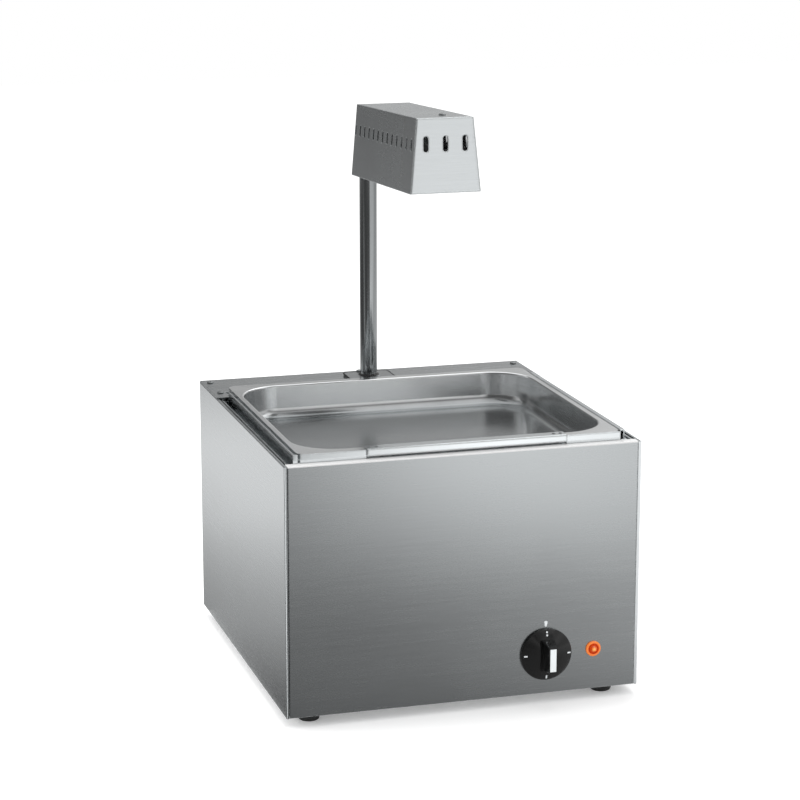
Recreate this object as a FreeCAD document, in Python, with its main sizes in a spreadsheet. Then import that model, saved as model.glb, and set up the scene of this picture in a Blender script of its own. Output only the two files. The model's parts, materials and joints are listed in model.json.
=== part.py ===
import FreeCAD, Part
import math
import os
import re
import Sketcher

# Countertop heated scuttle: a sheet-metal casing with a lift-out pan and an overhead lamp head.
# Row frame: X across (centred), Y from the front to the back, Z up from the feet's resting plane.
# Inside the text of this file, y is measured from the front panel's face and z from the casing's lower edge.

# Driving dimensions in millimetres, angles in degrees.
SIZES = {
    # pan's standard outline, the spaces round it, and the casing's height
    "pan_length": 354.0,
    "pan_width": 325.0,
    "pan_side_space": 18.0,
    "pan_front": 14.5,
    "ledge_gap": 2.5,
    "ledge_depth": 65.0,
    "body_height": 271.0,
    # casing
    "sheet": 1.2,
    "hem_width": 3.0,
    "hem_depth": 12.0,
    "seam": 0.6,
    "fit_gap": 0.3,
    "edge_round": 0.8,
    "back_return": 12.0,
    "corner_tab": 22.0,
    "back_screw_side": 30.0,
    "back_screw_height": 6.0,
    "base_return": 10.0,
    # ventilation slots of the back panel and the base plate
    "vent_width": 4.0,
    "vent_length": 34.0,
    "vent_pitch": 14.0,
    "vent_count": 12.0,
    "vent_row_low": 50.0,
    "vent_row_high": 190.0,
    # feet
    "foot_height": 12.0,
    "foot_diameter": 25.0,
    "foot_taper": 1.5,
    "foot_round": 2.0,
    "foot_inset_side": 31.0,
    "foot_inset_front": 28.0,
    "foot_recess_diameter": 12.0,
    "foot_recess_depth": 6.0,
    # rear ledge with its ears
    "ledge_thickness": 1.5,
    "ledge_inset": 0.5,
    "ear_length": 25.0,
    "ear_width": 15.5,
    "ear_round": 3.0,
    "ledge_screw_inset": 9.5,
    "ledge_screw_rear": 15.0,
    "ear_screw_back": 21.0,
    # channel tray and well
    "tray_sheet": 1.0,
    "channel_depth": 10.0,
    "strip_drop": 1.6,
    "strip_hem": 2.0,
    "strip_hem_drop": 0.7,
    "ear_tab_width": 6.0,
    "ear_tab_inset": 3.0,
    "well_margin": 21.5,
    "well_front": 24.0,
    "well_rear_margin": 12.0,
    "well_depth": 78.0,
    "well_flange": 9.0,
    # pan frame: upstand, shelf, corner notches and the cut-out under the lip
    "frame_sheet": 1.5,
    "frame_side": 12.2,
    "frame_front": 11.0,
    "frame_ear_gap": 9.0,
    "frame_corner_gap": 8.0,
    "frame_rim_gap": 0.5,
    "upstand_rise": 9.0,
    "shelf_rise": 0.2,
    "shelf_width": 8.0,
    "notch_inset": 5.2,
    "notch_width": 2.4,
    "lip_cutout_drop": 3.0,
    # pan
    "pan_rise": 8.5,
    "pan_sheet": 1.0,
    "pan_skirt": 8.0,
    "pan_flange_round": 10.0,
    "pan_side_flange": 6.5,
    "pan_end_flange": 12.5,
    "pan_depth": 38.0,
    "pan_corner": 48.0,
    "pan_draft": 5.0,
    "pan_floor_round": 12.0,
    "pan_rim_round": 2.0,
    # front lip of the pan and its rivets
    "lip_length": 218.0,
    "lip_offset": 5.0,
    "lip_sheet": 1.8,
    "lip_reach": 5.5,
    "lip_overlap": 9.0,
    "lip_drop": 7.3,
    "lip_round": 1.2,
    "rivet_diameter": 4.0,
    "rivet_rise": 0.8,
    "rivet_inset": 4.5,
    "rivet_pitch": 7.5,
    "rivet_back": 3.0,
    # post and its plate
    "post_diameter": 20.0,
    "post_wall": 1.5,
    "post_back": 34.0,
    "post_rise": 230.0,
    "bend_radius": 55.0,
    "arm_length": 13.6,
    "arm_insert": 12.0,
    "plate_length": 54.0,
    "plate_width": 44.0,
    "plate_thickness": 3.0,
    "plate_round": 7.0,
    "plate_edge": 0.8,
    "plate_shift": 4.0,
    "backing_length": 90.0,
    "backing_width": 48.0,
    "backing_thickness": 3.0,
    "post_screw_side": 6.5,
    "post_screw_reach": 17.0,
    # lamp head
    "head_tilt": 2.72,
    "head_length": 231.0,
    "head_height": 78.6,
    "head_top": 62.0,
    "head_bottom": 77.0,
    "head_sheet": 1.2,
    "head_return": 6.0,
    "head_round": 1.8,
    "end_round": 1.0,
    "end_flange": 9.0,
    "side_slot_width": 5.0,
    "side_slot_length": 13.0,
    "side_slot_height": 50.2,
    "side_slot_first": 11.6,
    "side_slot_last": 4.6,
    "side_slot_count": 13.0,
    "end_slot_width": 5.2,
    "end_slot_length": 16.6,
    "end_slot_height": 51.5,
    "end_slot_pitch": 21.3,
    "end_slot_count": 3.0,
    "head_screw_side": 6.4,
    "head_screw_back": 31.0,
    "flange_diameter": 46.0,
    "flange_thickness": 3.0,
    "flange_screw_circle": 34.0,
    "flange_screw_count": 3.0,
    # lamp, reflector and guard inside the head
    "reflector_sheet": 0.8,
    "reflector_top": 40.0,
    "reflector_low": 8.0,
    "reflector_high": 40.0,
    "reflector_margin": 14.0,
    "lamp_diameter": 10.0,
    "lamp_end_space": 27.5,
    "lamp_height": 26.0,
    "holder_length": 11.0,
    "holder_width": 20.0,
    "holder_height": 16.0,
    "guard_wire": 2.4,
    "guard_half_width": 24.0,
    "guard_end_space": 31.5,
    "guard_count": 8.0,
    # knob, pointer and shaft
    "knob_inset": 105.0,
    "knob_height": 44.3,
    "knob_gap": 0.8,
    "skirt_diameter": 57.0,
    "skirt_rim": 2.4,
    "skirt_dome": 6.0,
    "skirt_round": 0.9,
    "grip_rise": 18.0,
    "grip_length": 36.0,
    "grip_width": 17.0,
    "grip_top_length": 28.0,
    "grip_top_width": 9.6,
    "grip_corner": 3.0,
    "grip_top_corner": 1.6,
    "pointer_length": 25.0,
    "pointer_width": 6.8,
    "pointer_depth": 1.2,
    "pointer_gap": 0.1,
    "pointer_proud": 0.2,
    "shaft_diameter": 6.0,
    "shaft_gap": 0.05,
    "shaft_insert": 20.0,
    "shaft_behind": 16.0,
    "shaft_hole": 11.0,
    # selector switch
    "switch_width": 42.0,
    "switch_depth": 34.0,
    "switch_corner": 5.0,
    # pilot lamp
    "pilot_inset": 51.0,
    "pilot_height": 45.0,
    "pilot_flange": 17.0,
    "pilot_flange_rise": 1.6,
    "pilot_ring_groove": 1.0,
    "pilot_dome": 9.6,
    "pilot_dome_rise": 4.4,
    "pilot_barrel": 11.6,
    "pilot_barrel_length": 26.0,
    "pilot_nut_width": 17.0,
    "pilot_nut_height": 3.0,
    # cable gland
    "gland_inset": 55.0,
    "gland_height": 40.0,
    "gland_bore": 8.0,
    "gland_thread": 16.0,
    "gland_thread_length": 9.0,
    "gland_hex": 22.0,
    "gland_hex_length": 5.0,
    "gland_dome_diameter": 19.0,
    "gland_dome_length": 13.0,
    "gland_dome_round": 4.0,
    "gland_nut_height": 4.0,
    # inside of the casing
    "element_diameter": 6.5,
    "element_runs": 4.0,
    "element_pitch": 56.0,
    "element_margin": 10.0,
    "element_lift": 10.0,
    "element_tail": 20.0,
    "clip_inset": 30.0,
    "clip_width": 12.0,
    "insulation_thickness": 25.0,
    "insulation_margin": 8.0,
    "limiter_diameter": 18.0,
    "limiter_height": 12.0,
    "terminal_length": 44.0,
    "terminal_width": 22.0,
    "terminal_height": 24.0,
    "terminal_poles": 4.0,
    "terminal_hole": 5.0,
    # fasteners
    "screw_head": 7.6,
    "screw_head_height": 2.3,
    "screw_shank": 3.8,
    "screw_length": 9.0,
    "screw_drive": 3.4,
    "screw_drive_depth": 1.2,
    "screw_hole": 4.4,
}

# Places and sizes that follow from the driving dimensions.
DERIVED = {
    "body_width": "pan_length + 2 * pan_side_space",
    "ledge_front": "pan_front + pan_width + ledge_gap",
    "body_depth": "ledge_front + ledge_depth",
    "front_face": "(knob_reach - gland_reach - body_depth) / 2",
    "panel_half": "body_width / 2 - hem_width - seam",
    "inner_half": "panel_half - sheet - fit_gap",
    "front_return": "frame_front - fit_gap",
    "ear_front": "ledge_front - ear_length",
    "frame_rear": "ear_front - frame_ear_gap",
    "well_rear": "ledge_front - well_rear_margin",
    "well_half": "body_width / 2 - well_margin",
    "well_floor": "body_height - channel_depth - well_depth",
    "tray_rear": "post_y - plate_shift - backing_width / 2 - seam",
    "pan_middle": "pan_front + pan_width / 2",
    "post_y": "body_depth - post_back",
    "post_foot": "body_height + ledge_thickness + plate_thickness",
    "arm_height": "head_height / 2",
    "head_y": "post_y - bend_radius + bend_radius * sin(head_tilt)"
              " - (arm_length + head_length) * cos(head_tilt) - arm_height * sin(head_tilt)",
    "head_z": "post_foot + post_rise + bend_radius * cos(head_tilt)"
              " + (arm_length + head_length) * sin(head_tilt) - arm_height * cos(head_tilt)",
    "side_slot_pitch": "(head_length - side_slot_first - side_slot_last) / (side_slot_count - 1)",
    "lamp_length": "head_length - 2 * lamp_end_space",
    "guard_pitch": "(head_length - 2 * guard_end_space) / (guard_count - 1)",
    "knob_reach": "knob_gap + skirt_dome + grip_rise + pointer_proud",
    "knob_side": "body_width / 2 - knob_inset",
    "pilot_side": "body_width / 2 - pilot_inset",
    "gland_side": "body_width / 2 - gland_inset",
    "gland_reach": "gland_hex_length + gland_dome_length",
    "element_level": "well_floor + tray_sheet + element_lift",
    "element_run": "well_rear - well_front - element_pitch - 2 * element_margin",
    "element_middle": "(well_front + well_rear) / 2",
}

DOC = FreeCAD.newDocument("Scuttle")


# ---------------------------------------------------------------- sizes and placement

def make_sheet():
    """Spreadsheet with one named cell for each driving dimension."""
    sheet = DOC.addObject("Spreadsheet::Sheet", "Sizes")
    for row, (name, size) in enumerate(SIZES.items(), start=1):
        sheet.set(f"A{row}", name)
        sheet.set(f"B{row}", str(size))
        sheet.setAlias(f"B{row}", name)
    DOC.recompute()
    return sheet


SHEET = make_sheet()


def bound(text):
    """Expression text with each derived name worked out and each size name turned into its cell."""
    def swap(word):
        name = word[0]
        if name in DERIVED:
            return "(" + bound(DERIVED[name]) + ")"
        return "Sizes." + name if name in SIZES else name
    return re.sub(r"[a-z_]+", swap, text)


def size(text):
    """Number that an expression of size names gives now."""
    return float(SHEET.evalExpression(bound(text)))


def place(made, x="0", y="0", z="0"):
    """Placement from expressions: x from the middle, y from the front, z from the casing's lower edge."""
    made.setExpression("Placement.Base.x", bound(x))
    made.setExpression("Placement.Base.y", bound(f"front_face + {y}"))
    made.setExpression("Placement.Base.z", bound(f"foot_height + {z}"))


def place_in_head(made):
    """Placement of a piece modelled in the head's own frame: origin at its lower front edge, y backwards."""
    place(made, "0", "head_y", "head_z")
    made.Placement.Rotation = FreeCAD.Rotation(FreeCAD.Vector(1, 0, 0), -1)
    made.setExpression("Placement.Rotation.Angle", bound("-head_tilt"))


def new_body(label):
    made = DOC.addObject("PartDesign::Body", label)
    made.Label = label
    return made


def new_sketch(owner, plane, offset="0"):
    """Sketch on one of the body's own origin planes, moved along its normal by offset."""
    made = owner.newObject("Sketcher::SketchObject", owner.Name + "_sketch")
    support = next(item for item in owner.Origin.OriginFeatures if item.Role == plane + "_Plane")
    made.AttachmentSupport = [(support, "")]
    made.MapMode = "FlatFace"
    made.setExpression("AttachmentOffset.Base.z", bound(offset))
    return made


# ---------------------------------------------------------------- sketch outlines

def dimension(drawing, kind, text, *where):
    """Dimension whose value follows an expression."""
    index = drawing.addConstraint(Sketcher.Constraint(kind, *where, size(text)))
    drawing.setExpression(f"Constraints[{index}]", bound(text))


def outline(drawing, corners):
    """Closed outline of straight lines through corners, each a pair of expressions."""
    points = [FreeCAD.Vector(size(x), size(y), 0) for x, y in corners]
    first = drawing.GeometryCount
    count = len(points)
    for index in range(count):
        drawing.addGeometry(Part.LineSegment(points[index], points[(index + 1) % count]), False)
    for index in range(count):
        after = first + (index + 1) % count
        drawing.addConstraint(Sketcher.Constraint("Coincident", first + index, 2, after, 1))
    for index, (x, y) in enumerate(corners):
        dimension(drawing, "DistanceX", x, -1, 1, first + index, 1)
        dimension(drawing, "DistanceY", y, -1, 1, first + index, 1)


def rectangle(drawing, x_low, x_high, y_low, y_high):
    outline(drawing, [(x_low, y_low), (x_high, y_low), (x_high, y_high), (x_low, y_high)])


def circle(drawing, x, y, diameter):
    centre = FreeCAD.Vector(size(x), size(y), 0)
    index = drawing.addGeometry(Part.Circle(centre, FreeCAD.Vector(0, 0, 1), size(diameter) / 2), False)
    dimension(drawing, "DistanceX", x, -1, 1, index, 3)
    dimension(drawing, "DistanceY", y, -1, 1, index, 3)
    dimension(drawing, "Diameter", diameter, index)


def corner_arc(x, y, radius, start):
    """Quarter circle that starts at start degrees."""
    base = Part.Circle(FreeCAD.Vector(x, y, 0), FreeCAD.Vector(0, 0, 1), radius)
    return Part.ArcOfCircle(base, math.radians(start), math.radians(start + 90))


def rounded_rectangle(drawing, x_low, x_high, y_low, y_high, radius):
    """Rectangle with four equal round corners."""
    left, right, low, high, turn = (size(text) for text in (x_low, x_high, y_low, y_high, radius))
    first = drawing.GeometryCount
    ends = [(left + turn, low), (right - turn, low), (right, low + turn), (right, high - turn),
            (right - turn, high), (left + turn, high), (left, high - turn), (left, low + turn)]
    points = [FreeCAD.Vector(x, y, 0) for x, y in ends]
    middles = [(right - turn, low + turn), (right - turn, high - turn),
               (left + turn, high - turn), (left + turn, low + turn)]
    for side, (x, y) in enumerate(middles):
        drawing.addGeometry(Part.LineSegment(points[2 * side], points[2 * side + 1]), False)
        drawing.addGeometry(corner_arc(x, y, turn, 90 * side - 90), False)
    for side in range(4):
        line = first + 2 * side
        drawing.addConstraint(Sketcher.Constraint("Tangent", line, 2, line + 1, 1))
        drawing.addConstraint(Sketcher.Constraint("Tangent", line + 1, 2, first + (2 * side + 2) % 8, 1))
        drawing.addConstraint(Sketcher.Constraint("Vertical" if side % 2 else "Horizontal", line))
    for side in range(1, 4):
        drawing.addConstraint(Sketcher.Constraint("Equal", first + 1, first + 2 * side + 1))
    dimension(drawing, "Radius", radius, first + 1)
    dimension(drawing, "DistanceY", y_low, -1, 1, first, 1)
    dimension(drawing, "DistanceX", x_high, -1, 1, first + 2, 1)
    dimension(drawing, "DistanceY", y_high, -1, 1, first + 4, 1)
    dimension(drawing, "DistanceX", x_low, -1, 1, first + 6, 1)


def upright_slot(drawing, x, y, width, length):
    """Slot with round ends, centred at x and y, its length along the sketch's second axis."""
    radius = size(width) / 2
    reach = size(length) / 2 - radius
    mid_x, mid_y = size(x), size(y)
    first = drawing.GeometryCount
    corner = [FreeCAD.Vector(mid_x + side * radius, mid_y + end * reach, 0)
              for side, end in ((1, -1), (1, 1), (-1, 1), (-1, -1))]
    upper = Part.Circle(FreeCAD.Vector(mid_x, mid_y + reach, 0), FreeCAD.Vector(0, 0, 1), radius)
    lower = Part.Circle(FreeCAD.Vector(mid_x, mid_y - reach, 0), FreeCAD.Vector(0, 0, 1), radius)
    drawing.addGeometry(Part.LineSegment(corner[0], corner[1]), False)
    drawing.addGeometry(Part.ArcOfCircle(upper, 0, math.pi), False)
    drawing.addGeometry(Part.LineSegment(corner[2], corner[3]), False)
    drawing.addGeometry(Part.ArcOfCircle(lower, math.pi, 2 * math.pi), False)
    for index in range(4):
        after = first + (index + 1) % 4
        drawing.addConstraint(Sketcher.Constraint("Tangent", first + index, 2, after, 1))
    drawing.addConstraint(Sketcher.Constraint("Vertical", first))
    drawing.addConstraint(Sketcher.Constraint("Equal", first + 1, first + 3))
    dimension(drawing, "Diameter", width, first + 1)
    dimension(drawing, "DistanceX", x, -1, 1, first + 1, 3)
    dimension(drawing, "DistanceY", f"{y} + {length} / 2 - {width} / 2", -1, 1, first + 1, 3)
    dimension(drawing, "DistanceY", f"{y} - {length} / 2 + {width} / 2", -1, 1, first + 3, 3)


# ---------------------------------------------------------------- features

def pad(owner, drawing, length, back=False, taper=None):
    """Pad along the sketch's normal, or against it with back."""
    made = owner.newObject("PartDesign::Pad", owner.Name + "_pad")
    made.Profile = drawing
    made.Reversed = back
    made.setExpression("Length", bound(length))
    if taper:
        made.setExpression("TaperAngle", bound(taper))
    return made


def pocket(owner, drawing, length, along=False, taper=None):
    """Pocket against the sketch's normal, or along it."""
    made = owner.newObject("PartDesign::Pocket", owner.Name + "_pocket")
    made.Profile = drawing
    made.Reversed = along
    made.setExpression("Length", bound(length))
    if taper:
        made.setExpression("TaperAngle", bound(taper))
    return made


def cut_through(owner, drawing):
    """Pocket through the whole body, both ways from the sketch."""
    made = owner.newObject("PartDesign::Pocket", owner.Name + "_cut")
    made.Profile = drawing
    made.Type = "ThroughAll"
    made.Midplane = True
    return made


def repeat(owner, feature, drawing, axis, pitch, count):
    """Row of copies of a feature along an axis of its sketch."""
    made = owner.newObject("PartDesign::LinearPattern", owner.Name + "_row")
    made.Originals = [feature]
    made.Direction = (drawing, [axis])
    made.setExpression("Length", bound(f"{pitch} * ({count} - 1)"))
    made.setExpression("Occurrences", bound(count))
    owner.Tip = made
    return made


def revolve(owner, drawing, axis):
    made = owner.newObject("PartDesign::Revolution", owner.Name + "_turned")
    made.Profile = drawing
    made.ReferenceAxis = (drawing, [axis])
    made.Angle = 360
    return made


def fillet(owner, base, radius, chosen):
    """Fillet of the edges of base that chosen picks."""
    DOC.recompute()
    names = [f"Edge{index}" for index, edge in enumerate(base.Shape.Edges, start=1) if chosen(edge)]
    made = owner.newObject("PartDesign::Fillet", owner.Name + "_fillet")
    made.Base = (base, names)
    made.setExpression("Radius", bound(radius))
    return made


def lies_at(axis, text):
    """Picks edges whose points all have one coordinate, in the body's own frame."""
    level = size(text)
    return lambda edge: all(abs(getattr(vertex.Point, axis) - level) < 1e-4 for vertex in edge.Vertexes)


def runs_along(axis):
    """Picks straight edges along one axis."""
    def chosen(edge):
        if len(edge.Vertexes) < 2 or edge.Curve.TypeId != "Part::GeomLine":
            return False
        return abs(abs(getattr(edge.tangentAt(edge.FirstParameter), axis)) - 1) < 1e-6
    return chosen


def new_feature(label, shape):
    """Sub-part whose shape is given directly."""
    made = DOC.addObject("Part::Feature", label)
    made.Label = label
    made.Shape = shape
    return made


# ---------------------------------------------------------------- casing

def side_panel(side, sign):
    """Hemmed side panel: one sheet with a folded hem all round its inner face."""
    owner = new_body(side + "_side_panel")
    face = new_sketch(owner, "YZ")
    rectangle(face, "0", "body_depth", "0", "body_height")
    pad(owner, face, "sheet", back=sign > 0)
    hem = new_sketch(owner, "YZ")
    rectangle(hem, "0", "body_depth", "0", "body_height")
    rectangle(hem, "hem_depth", "body_depth - hem_depth", "hem_depth", "body_height - hem_depth")
    folded = pad(owner, hem, "hem_width", back=sign > 0)
    fillet(owner, folded, "edge_round", lies_at("x", "0"))
    place(owner, f"{sign} * body_width / 2")
    return owner


def tray_panel(owner, half, low, high, depth, back):
    """Upright panel with returns all round, its face in the XZ plane of the body."""
    face = new_sketch(owner, "XZ")
    rectangle(face, f"-{half}", half, low, high)
    pad(owner, face, "sheet", back=back)
    returns = new_sketch(owner, "XZ")
    rectangle(returns, f"-{half}", half, low, high)
    rectangle(returns, f"sheet - {half}", f"{half} - sheet", f"{low} + sheet", f"{high} - sheet")
    return pad(owner, returns, depth, back=back)


def front_panel():
    """Front panel between the hems of the side panels, with holes for the switch shaft and the pilot lamp."""
    owner = new_body("front_panel")
    folded = tray_panel(owner, "panel_half", "0", "body_height", "front_return", True)
    fillet(owner, folded, "edge_round", lies_at("y", "0"))
    holes = new_sketch(owner, "XZ")
    circle(holes, "knob_side", "knob_height", "shaft_hole")
    circle(holes, "pilot_side", "pilot_height", "pilot_barrel + 2 * fit_gap")
    cut_through(owner, holes)
    place(owner)
    return owner


def back_panel():
    """Back panel with two rows of ventilation slots and the hole for the cable gland."""
    owner = new_body("back_panel")
    tray_panel(owner, "panel_half", "0", "body_height", "back_return", False)
    tabs = new_sketch(owner, "XY", "body_height")
    for sign in (-1, 1):
        rectangle(tabs, f"{sign} * (panel_half - corner_tab)", f"{sign} * panel_half", "-corner_tab", "0")
    pad(owner, tabs, "sheet", back=True)
    holes = new_sketch(owner, "XZ")
    circle(holes, "gland_side", "gland_height", "gland_thread + 2 * fit_gap")
    for x, z in back_screw_places():
        circle(holes, x, z, "screw_hole")
    pocket(owner, holes, "2 * sheet", along=True)
    top_holes = new_sketch(owner, "XY", "body_height")
    for x, y in ledge_screw_places()[:2]:
        circle(top_holes, x, f"({y} - body_depth)", "screw_hole")
    pocket(owner, top_holes, "2 * sheet")
    slots = new_sketch(owner, "XZ")
    start = "-vent_pitch * (vent_count - 1) / 2"
    for row in ("vent_row_low", "vent_row_high"):
        upright_slot(slots, start, f"({row} + vent_length / 2)", "vent_width", "vent_length")
    first = cut_through(owner, slots)
    repeat(owner, first, slots, "H_Axis", "vent_pitch", "vent_count")
    place(owner, y="body_depth")
    return owner


def back_screw_places():
    """Screws of the back panel, low down, into the base plate's rear return."""
    return [(f"{sign} * (body_width / 2 - back_screw_side)", "back_screw_height") for sign in (-1, 1)]


def base_plate():
    """Base plate with returns turned up, two rows of ventilation slots and holes for its screws."""
    owner = new_body("base_plate")
    front, rear = "(sheet + fit_gap)", "(body_depth - sheet - fit_gap)"
    floor = new_sketch(owner, "XY")
    rectangle(floor, "-inner_half", "inner_half", front, rear)
    pad(owner, floor, "sheet")
    returns = new_sketch(owner, "XY")
    rectangle(returns, "-inner_half", "inner_half", front, rear)
    rectangle(returns, "sheet - inner_half", "inner_half - sheet", f"{front} + sheet", f"{rear} - sheet")
    pad(owner, returns, "base_return")
    slots = new_sketch(owner, "XY")
    start = "-vent_pitch * (vent_count - 1) / 2"
    for row in ("body_depth / 4", "body_depth * 3 / 4"):
        upright_slot(slots, start, f"({row})", "vent_width", "vent_length")
    first = cut_through(owner, slots)
    repeat(owner, first, slots, "H_Axis", "vent_pitch", "vent_count")
    holes = new_sketch(owner, "XY")
    for _, sign, y in FEET:
        circle(holes, foot_side(sign), f"({y})", "screw_hole")
    pocket(owner, holes, "2 * sheet", along=True)
    rear_holes = new_sketch(owner, "XZ", f"-{rear}")
    for x, z in back_screw_places():
        circle(rear_holes, x, f"({z} - sheet - fit_gap)", "screw_hole")
    pocket(owner, rear_holes, "2 * sheet", along=True)
    place(owner, z="sheet + fit_gap")
    return owner


def foot_side(sign):
    return f"{sign} * (body_width / 2 - foot_inset_side)"


def foot(name, sign, y):
    """Rubber foot: a turned button with a recess for its screw."""
    owner = new_body("foot_" + name)
    section = new_sketch(owner, "XZ")
    top = "(foot_height + sheet + fit_gap)"
    outline(section, [
        ("foot_recess_diameter / 2", "0"),
        ("foot_diameter / 2 - foot_taper", "0"),
        ("foot_diameter / 2", top),
        ("screw_shank / 2 + fit_gap", top),
        ("screw_shank / 2 + fit_gap", "foot_recess_depth"),
        ("foot_recess_diameter / 2", "foot_recess_depth"),
    ])
    turned = revolve(owner, section, "V_Axis")

    def outer_lower(edge):
        reach = size("foot_diameter / 2 - foot_taper")
        return lies_at("z", "0")(edge) and abs(edge.Curve.Radius - reach) < 1e-4
    fillet(owner, turned, "foot_round", outer_lower)
    place(owner, foot_side(sign), y, "-foot_height")
    return owner


FEET = [
    ("front_left", -1, "foot_inset_front"),
    ("front_right", 1, "foot_inset_front"),
    ("rear_left", -1, "body_depth - foot_inset_front"),
    ("rear_right", 1, "body_depth - foot_inset_front"),
]


# ---------------------------------------------------------------- top: ledge, tray, frame

def rear_ledge():
    """Flat ledge behind the pan, with an ear over each side channel."""
    owner = new_body("rear_ledge")
    half, ear = "(body_width / 2 - ledge_inset)", "(body_width / 2 - ledge_inset - ear_width)"
    plan = new_sketch(owner, "XY")
    outline(plan, [
        (f"-{half}", "ear_front"), (f"-{ear}", "ear_front"), (f"-{ear}", "ledge_front"),
        (ear, "ledge_front"), (ear, "ear_front"), (half, "ear_front"),
        (half, "body_depth"), (f"-{half}", "body_depth"),
    ])
    plate = pad(owner, plan, "ledge_thickness")

    def ear_corner(edge):
        return runs_along("z")(edge) and lies_at("y", "ear_front")(edge)
    fillet(owner, plate, "ear_round", ear_corner)
    holes = new_sketch(owner, "XY")
    circle(holes, "0", "post_y", "post_diameter - 2 * post_wall")
    for x, y in ledge_screw_places() + post_screw_places():
        circle(holes, x, y, "screw_hole")
    cut_through(owner, holes)
    place(owner, z="body_height")
    return owner


def ledge_screw_places():
    """Screws of the ledge: one at each rear corner, then one on each ear."""
    side = "(body_width / 2 - ledge_screw_inset)"
    rows = ("(body_depth - ledge_screw_rear)", "(ear_front + ear_screw_back)")
    return [(f"{sign} * {side}", y) for y in rows for sign in (-1, 1)]


def post_screw_places():
    """Two screws of the post plate, across from each other beside the tube."""
    return [(f"{sign} * post_screw_side", f"(post_y - {sign} * post_screw_reach)") for sign in (-1, 1)]


def ring_pad(owner, outer, inner, level, height):
    """Upright ring between two rectangles, each (half width, front, rear), from level upwards."""
    plan = new_sketch(owner, "XY", level)
    for half, front, rear in (outer, inner):
        rectangle(plan, f"-{half}", half, front, rear)
    return pad(owner, plan, height)


def channel_tray():
    """Tray in the casing's mouth: an outer strip, a channel floor and a tab under each ear of the ledge."""
    owner = new_body("channel_tray")
    front = "(sheet + fit_gap)"
    outer = ("inner_half", front, "tray_rear")
    inside = ("(inner_half - tray_sheet)", f"({front} + tray_sheet)", "(tray_rear - tray_sheet)")
    hollow = ("(well_half - tray_sheet)", "(well_front + tray_sheet)", "(well_rear - tray_sheet)")
    floor = "(body_height - channel_depth)"
    ring_pad(owner, outer, hollow, f"{floor} - tray_sheet", "tray_sheet")
    ring_pad(owner, outer, inside, floor, "channel_depth - strip_drop")
    hems = new_sketch(owner, "XY", floor)
    for sign in (-1, 1):
        rectangle(hems, f"{sign} * (inner_half - strip_hem)", f"{sign} * inner_half",
                  "front_return + fit_gap", "ear_front - fit_gap")
    pad(owner, hems, "channel_depth - strip_hem_drop")
    tabs = new_sketch(owner, "XY", "body_height - strip_drop")
    for sign in (-1, 1):
        rectangle(tabs, f"{sign} * (inner_half - ear_tab_width)", f"{sign} * inner_half",
                  "ear_front + ear_tab_inset", "tray_rear")
    pad(owner, tabs, "tray_sheet", back=True)
    holes = new_sketch(owner, "XY", "body_height - strip_drop")
    for x, y in ledge_screw_places()[2:]:
        circle(holes, x, y, "screw_hole")
    pocket(owner, holes, "2 * tray_sheet")
    place(owner)
    return owner


def element_well():
    """Bottom, front and rear of the deep well for the element, folded from one sheet with two flanges."""
    owner = new_body("element_well")
    half = "(well_half - tray_sheet - fit_gap)"
    top = "(body_height - channel_depth - tray_sheet)"
    section = new_sketch(owner, "YZ", f"-{half}")
    outline(section, [
        ("well_front - well_flange", top), ("well_front - well_flange", f"{top} - tray_sheet"),
        ("well_front", f"{top} - tray_sheet"), ("well_front", "well_floor"),
        ("well_rear", "well_floor"), ("well_rear", f"{top} - tray_sheet"),
        ("well_rear + well_flange", f"{top} - tray_sheet"), ("well_rear + well_flange", top),
        ("well_rear - tray_sheet", top), ("well_rear - tray_sheet", "well_floor + tray_sheet"),
        ("well_front + tray_sheet", "well_floor + tray_sheet"), ("well_front + tray_sheet", top),
    ])
    pad(owner, section, f"2 * {half}")
    tail_holes = new_sketch(owner, "XZ", "-well_rear")
    for sign in (-1, 1):
        circle(tail_holes, f"{sign} * element_pitch * (element_runs - 1) / 2", "element_level",
               "element_diameter + 2 * fit_gap")
    pocket(owner, tail_holes, "2 * tray_sheet", along=True)
    place(owner)
    return owner


def well_end(name, sign):
    """Flanged end plate of the well, spot-welded to it and under the channel tray's floor."""
    owner = new_body(name)
    outer, inner = f"{sign} * well_half", f"{sign} * (well_half - tray_sheet)"
    top = "(body_height - channel_depth - tray_sheet)"
    wall = new_sketch(owner, "XY", "well_floor")
    rectangle(wall, inner, outer, "well_front", "well_rear")
    pad(owner, wall, f"{top} - well_floor")
    flange = new_sketch(owner, "XY", f"{top} - tray_sheet")
    rectangle(flange, inner, f"{sign} * (well_half + well_flange)", "well_front - well_flange",
              "well_rear + well_flange")
    pad(owner, flange, "tray_sheet")
    place(owner)
    return owner


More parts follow.
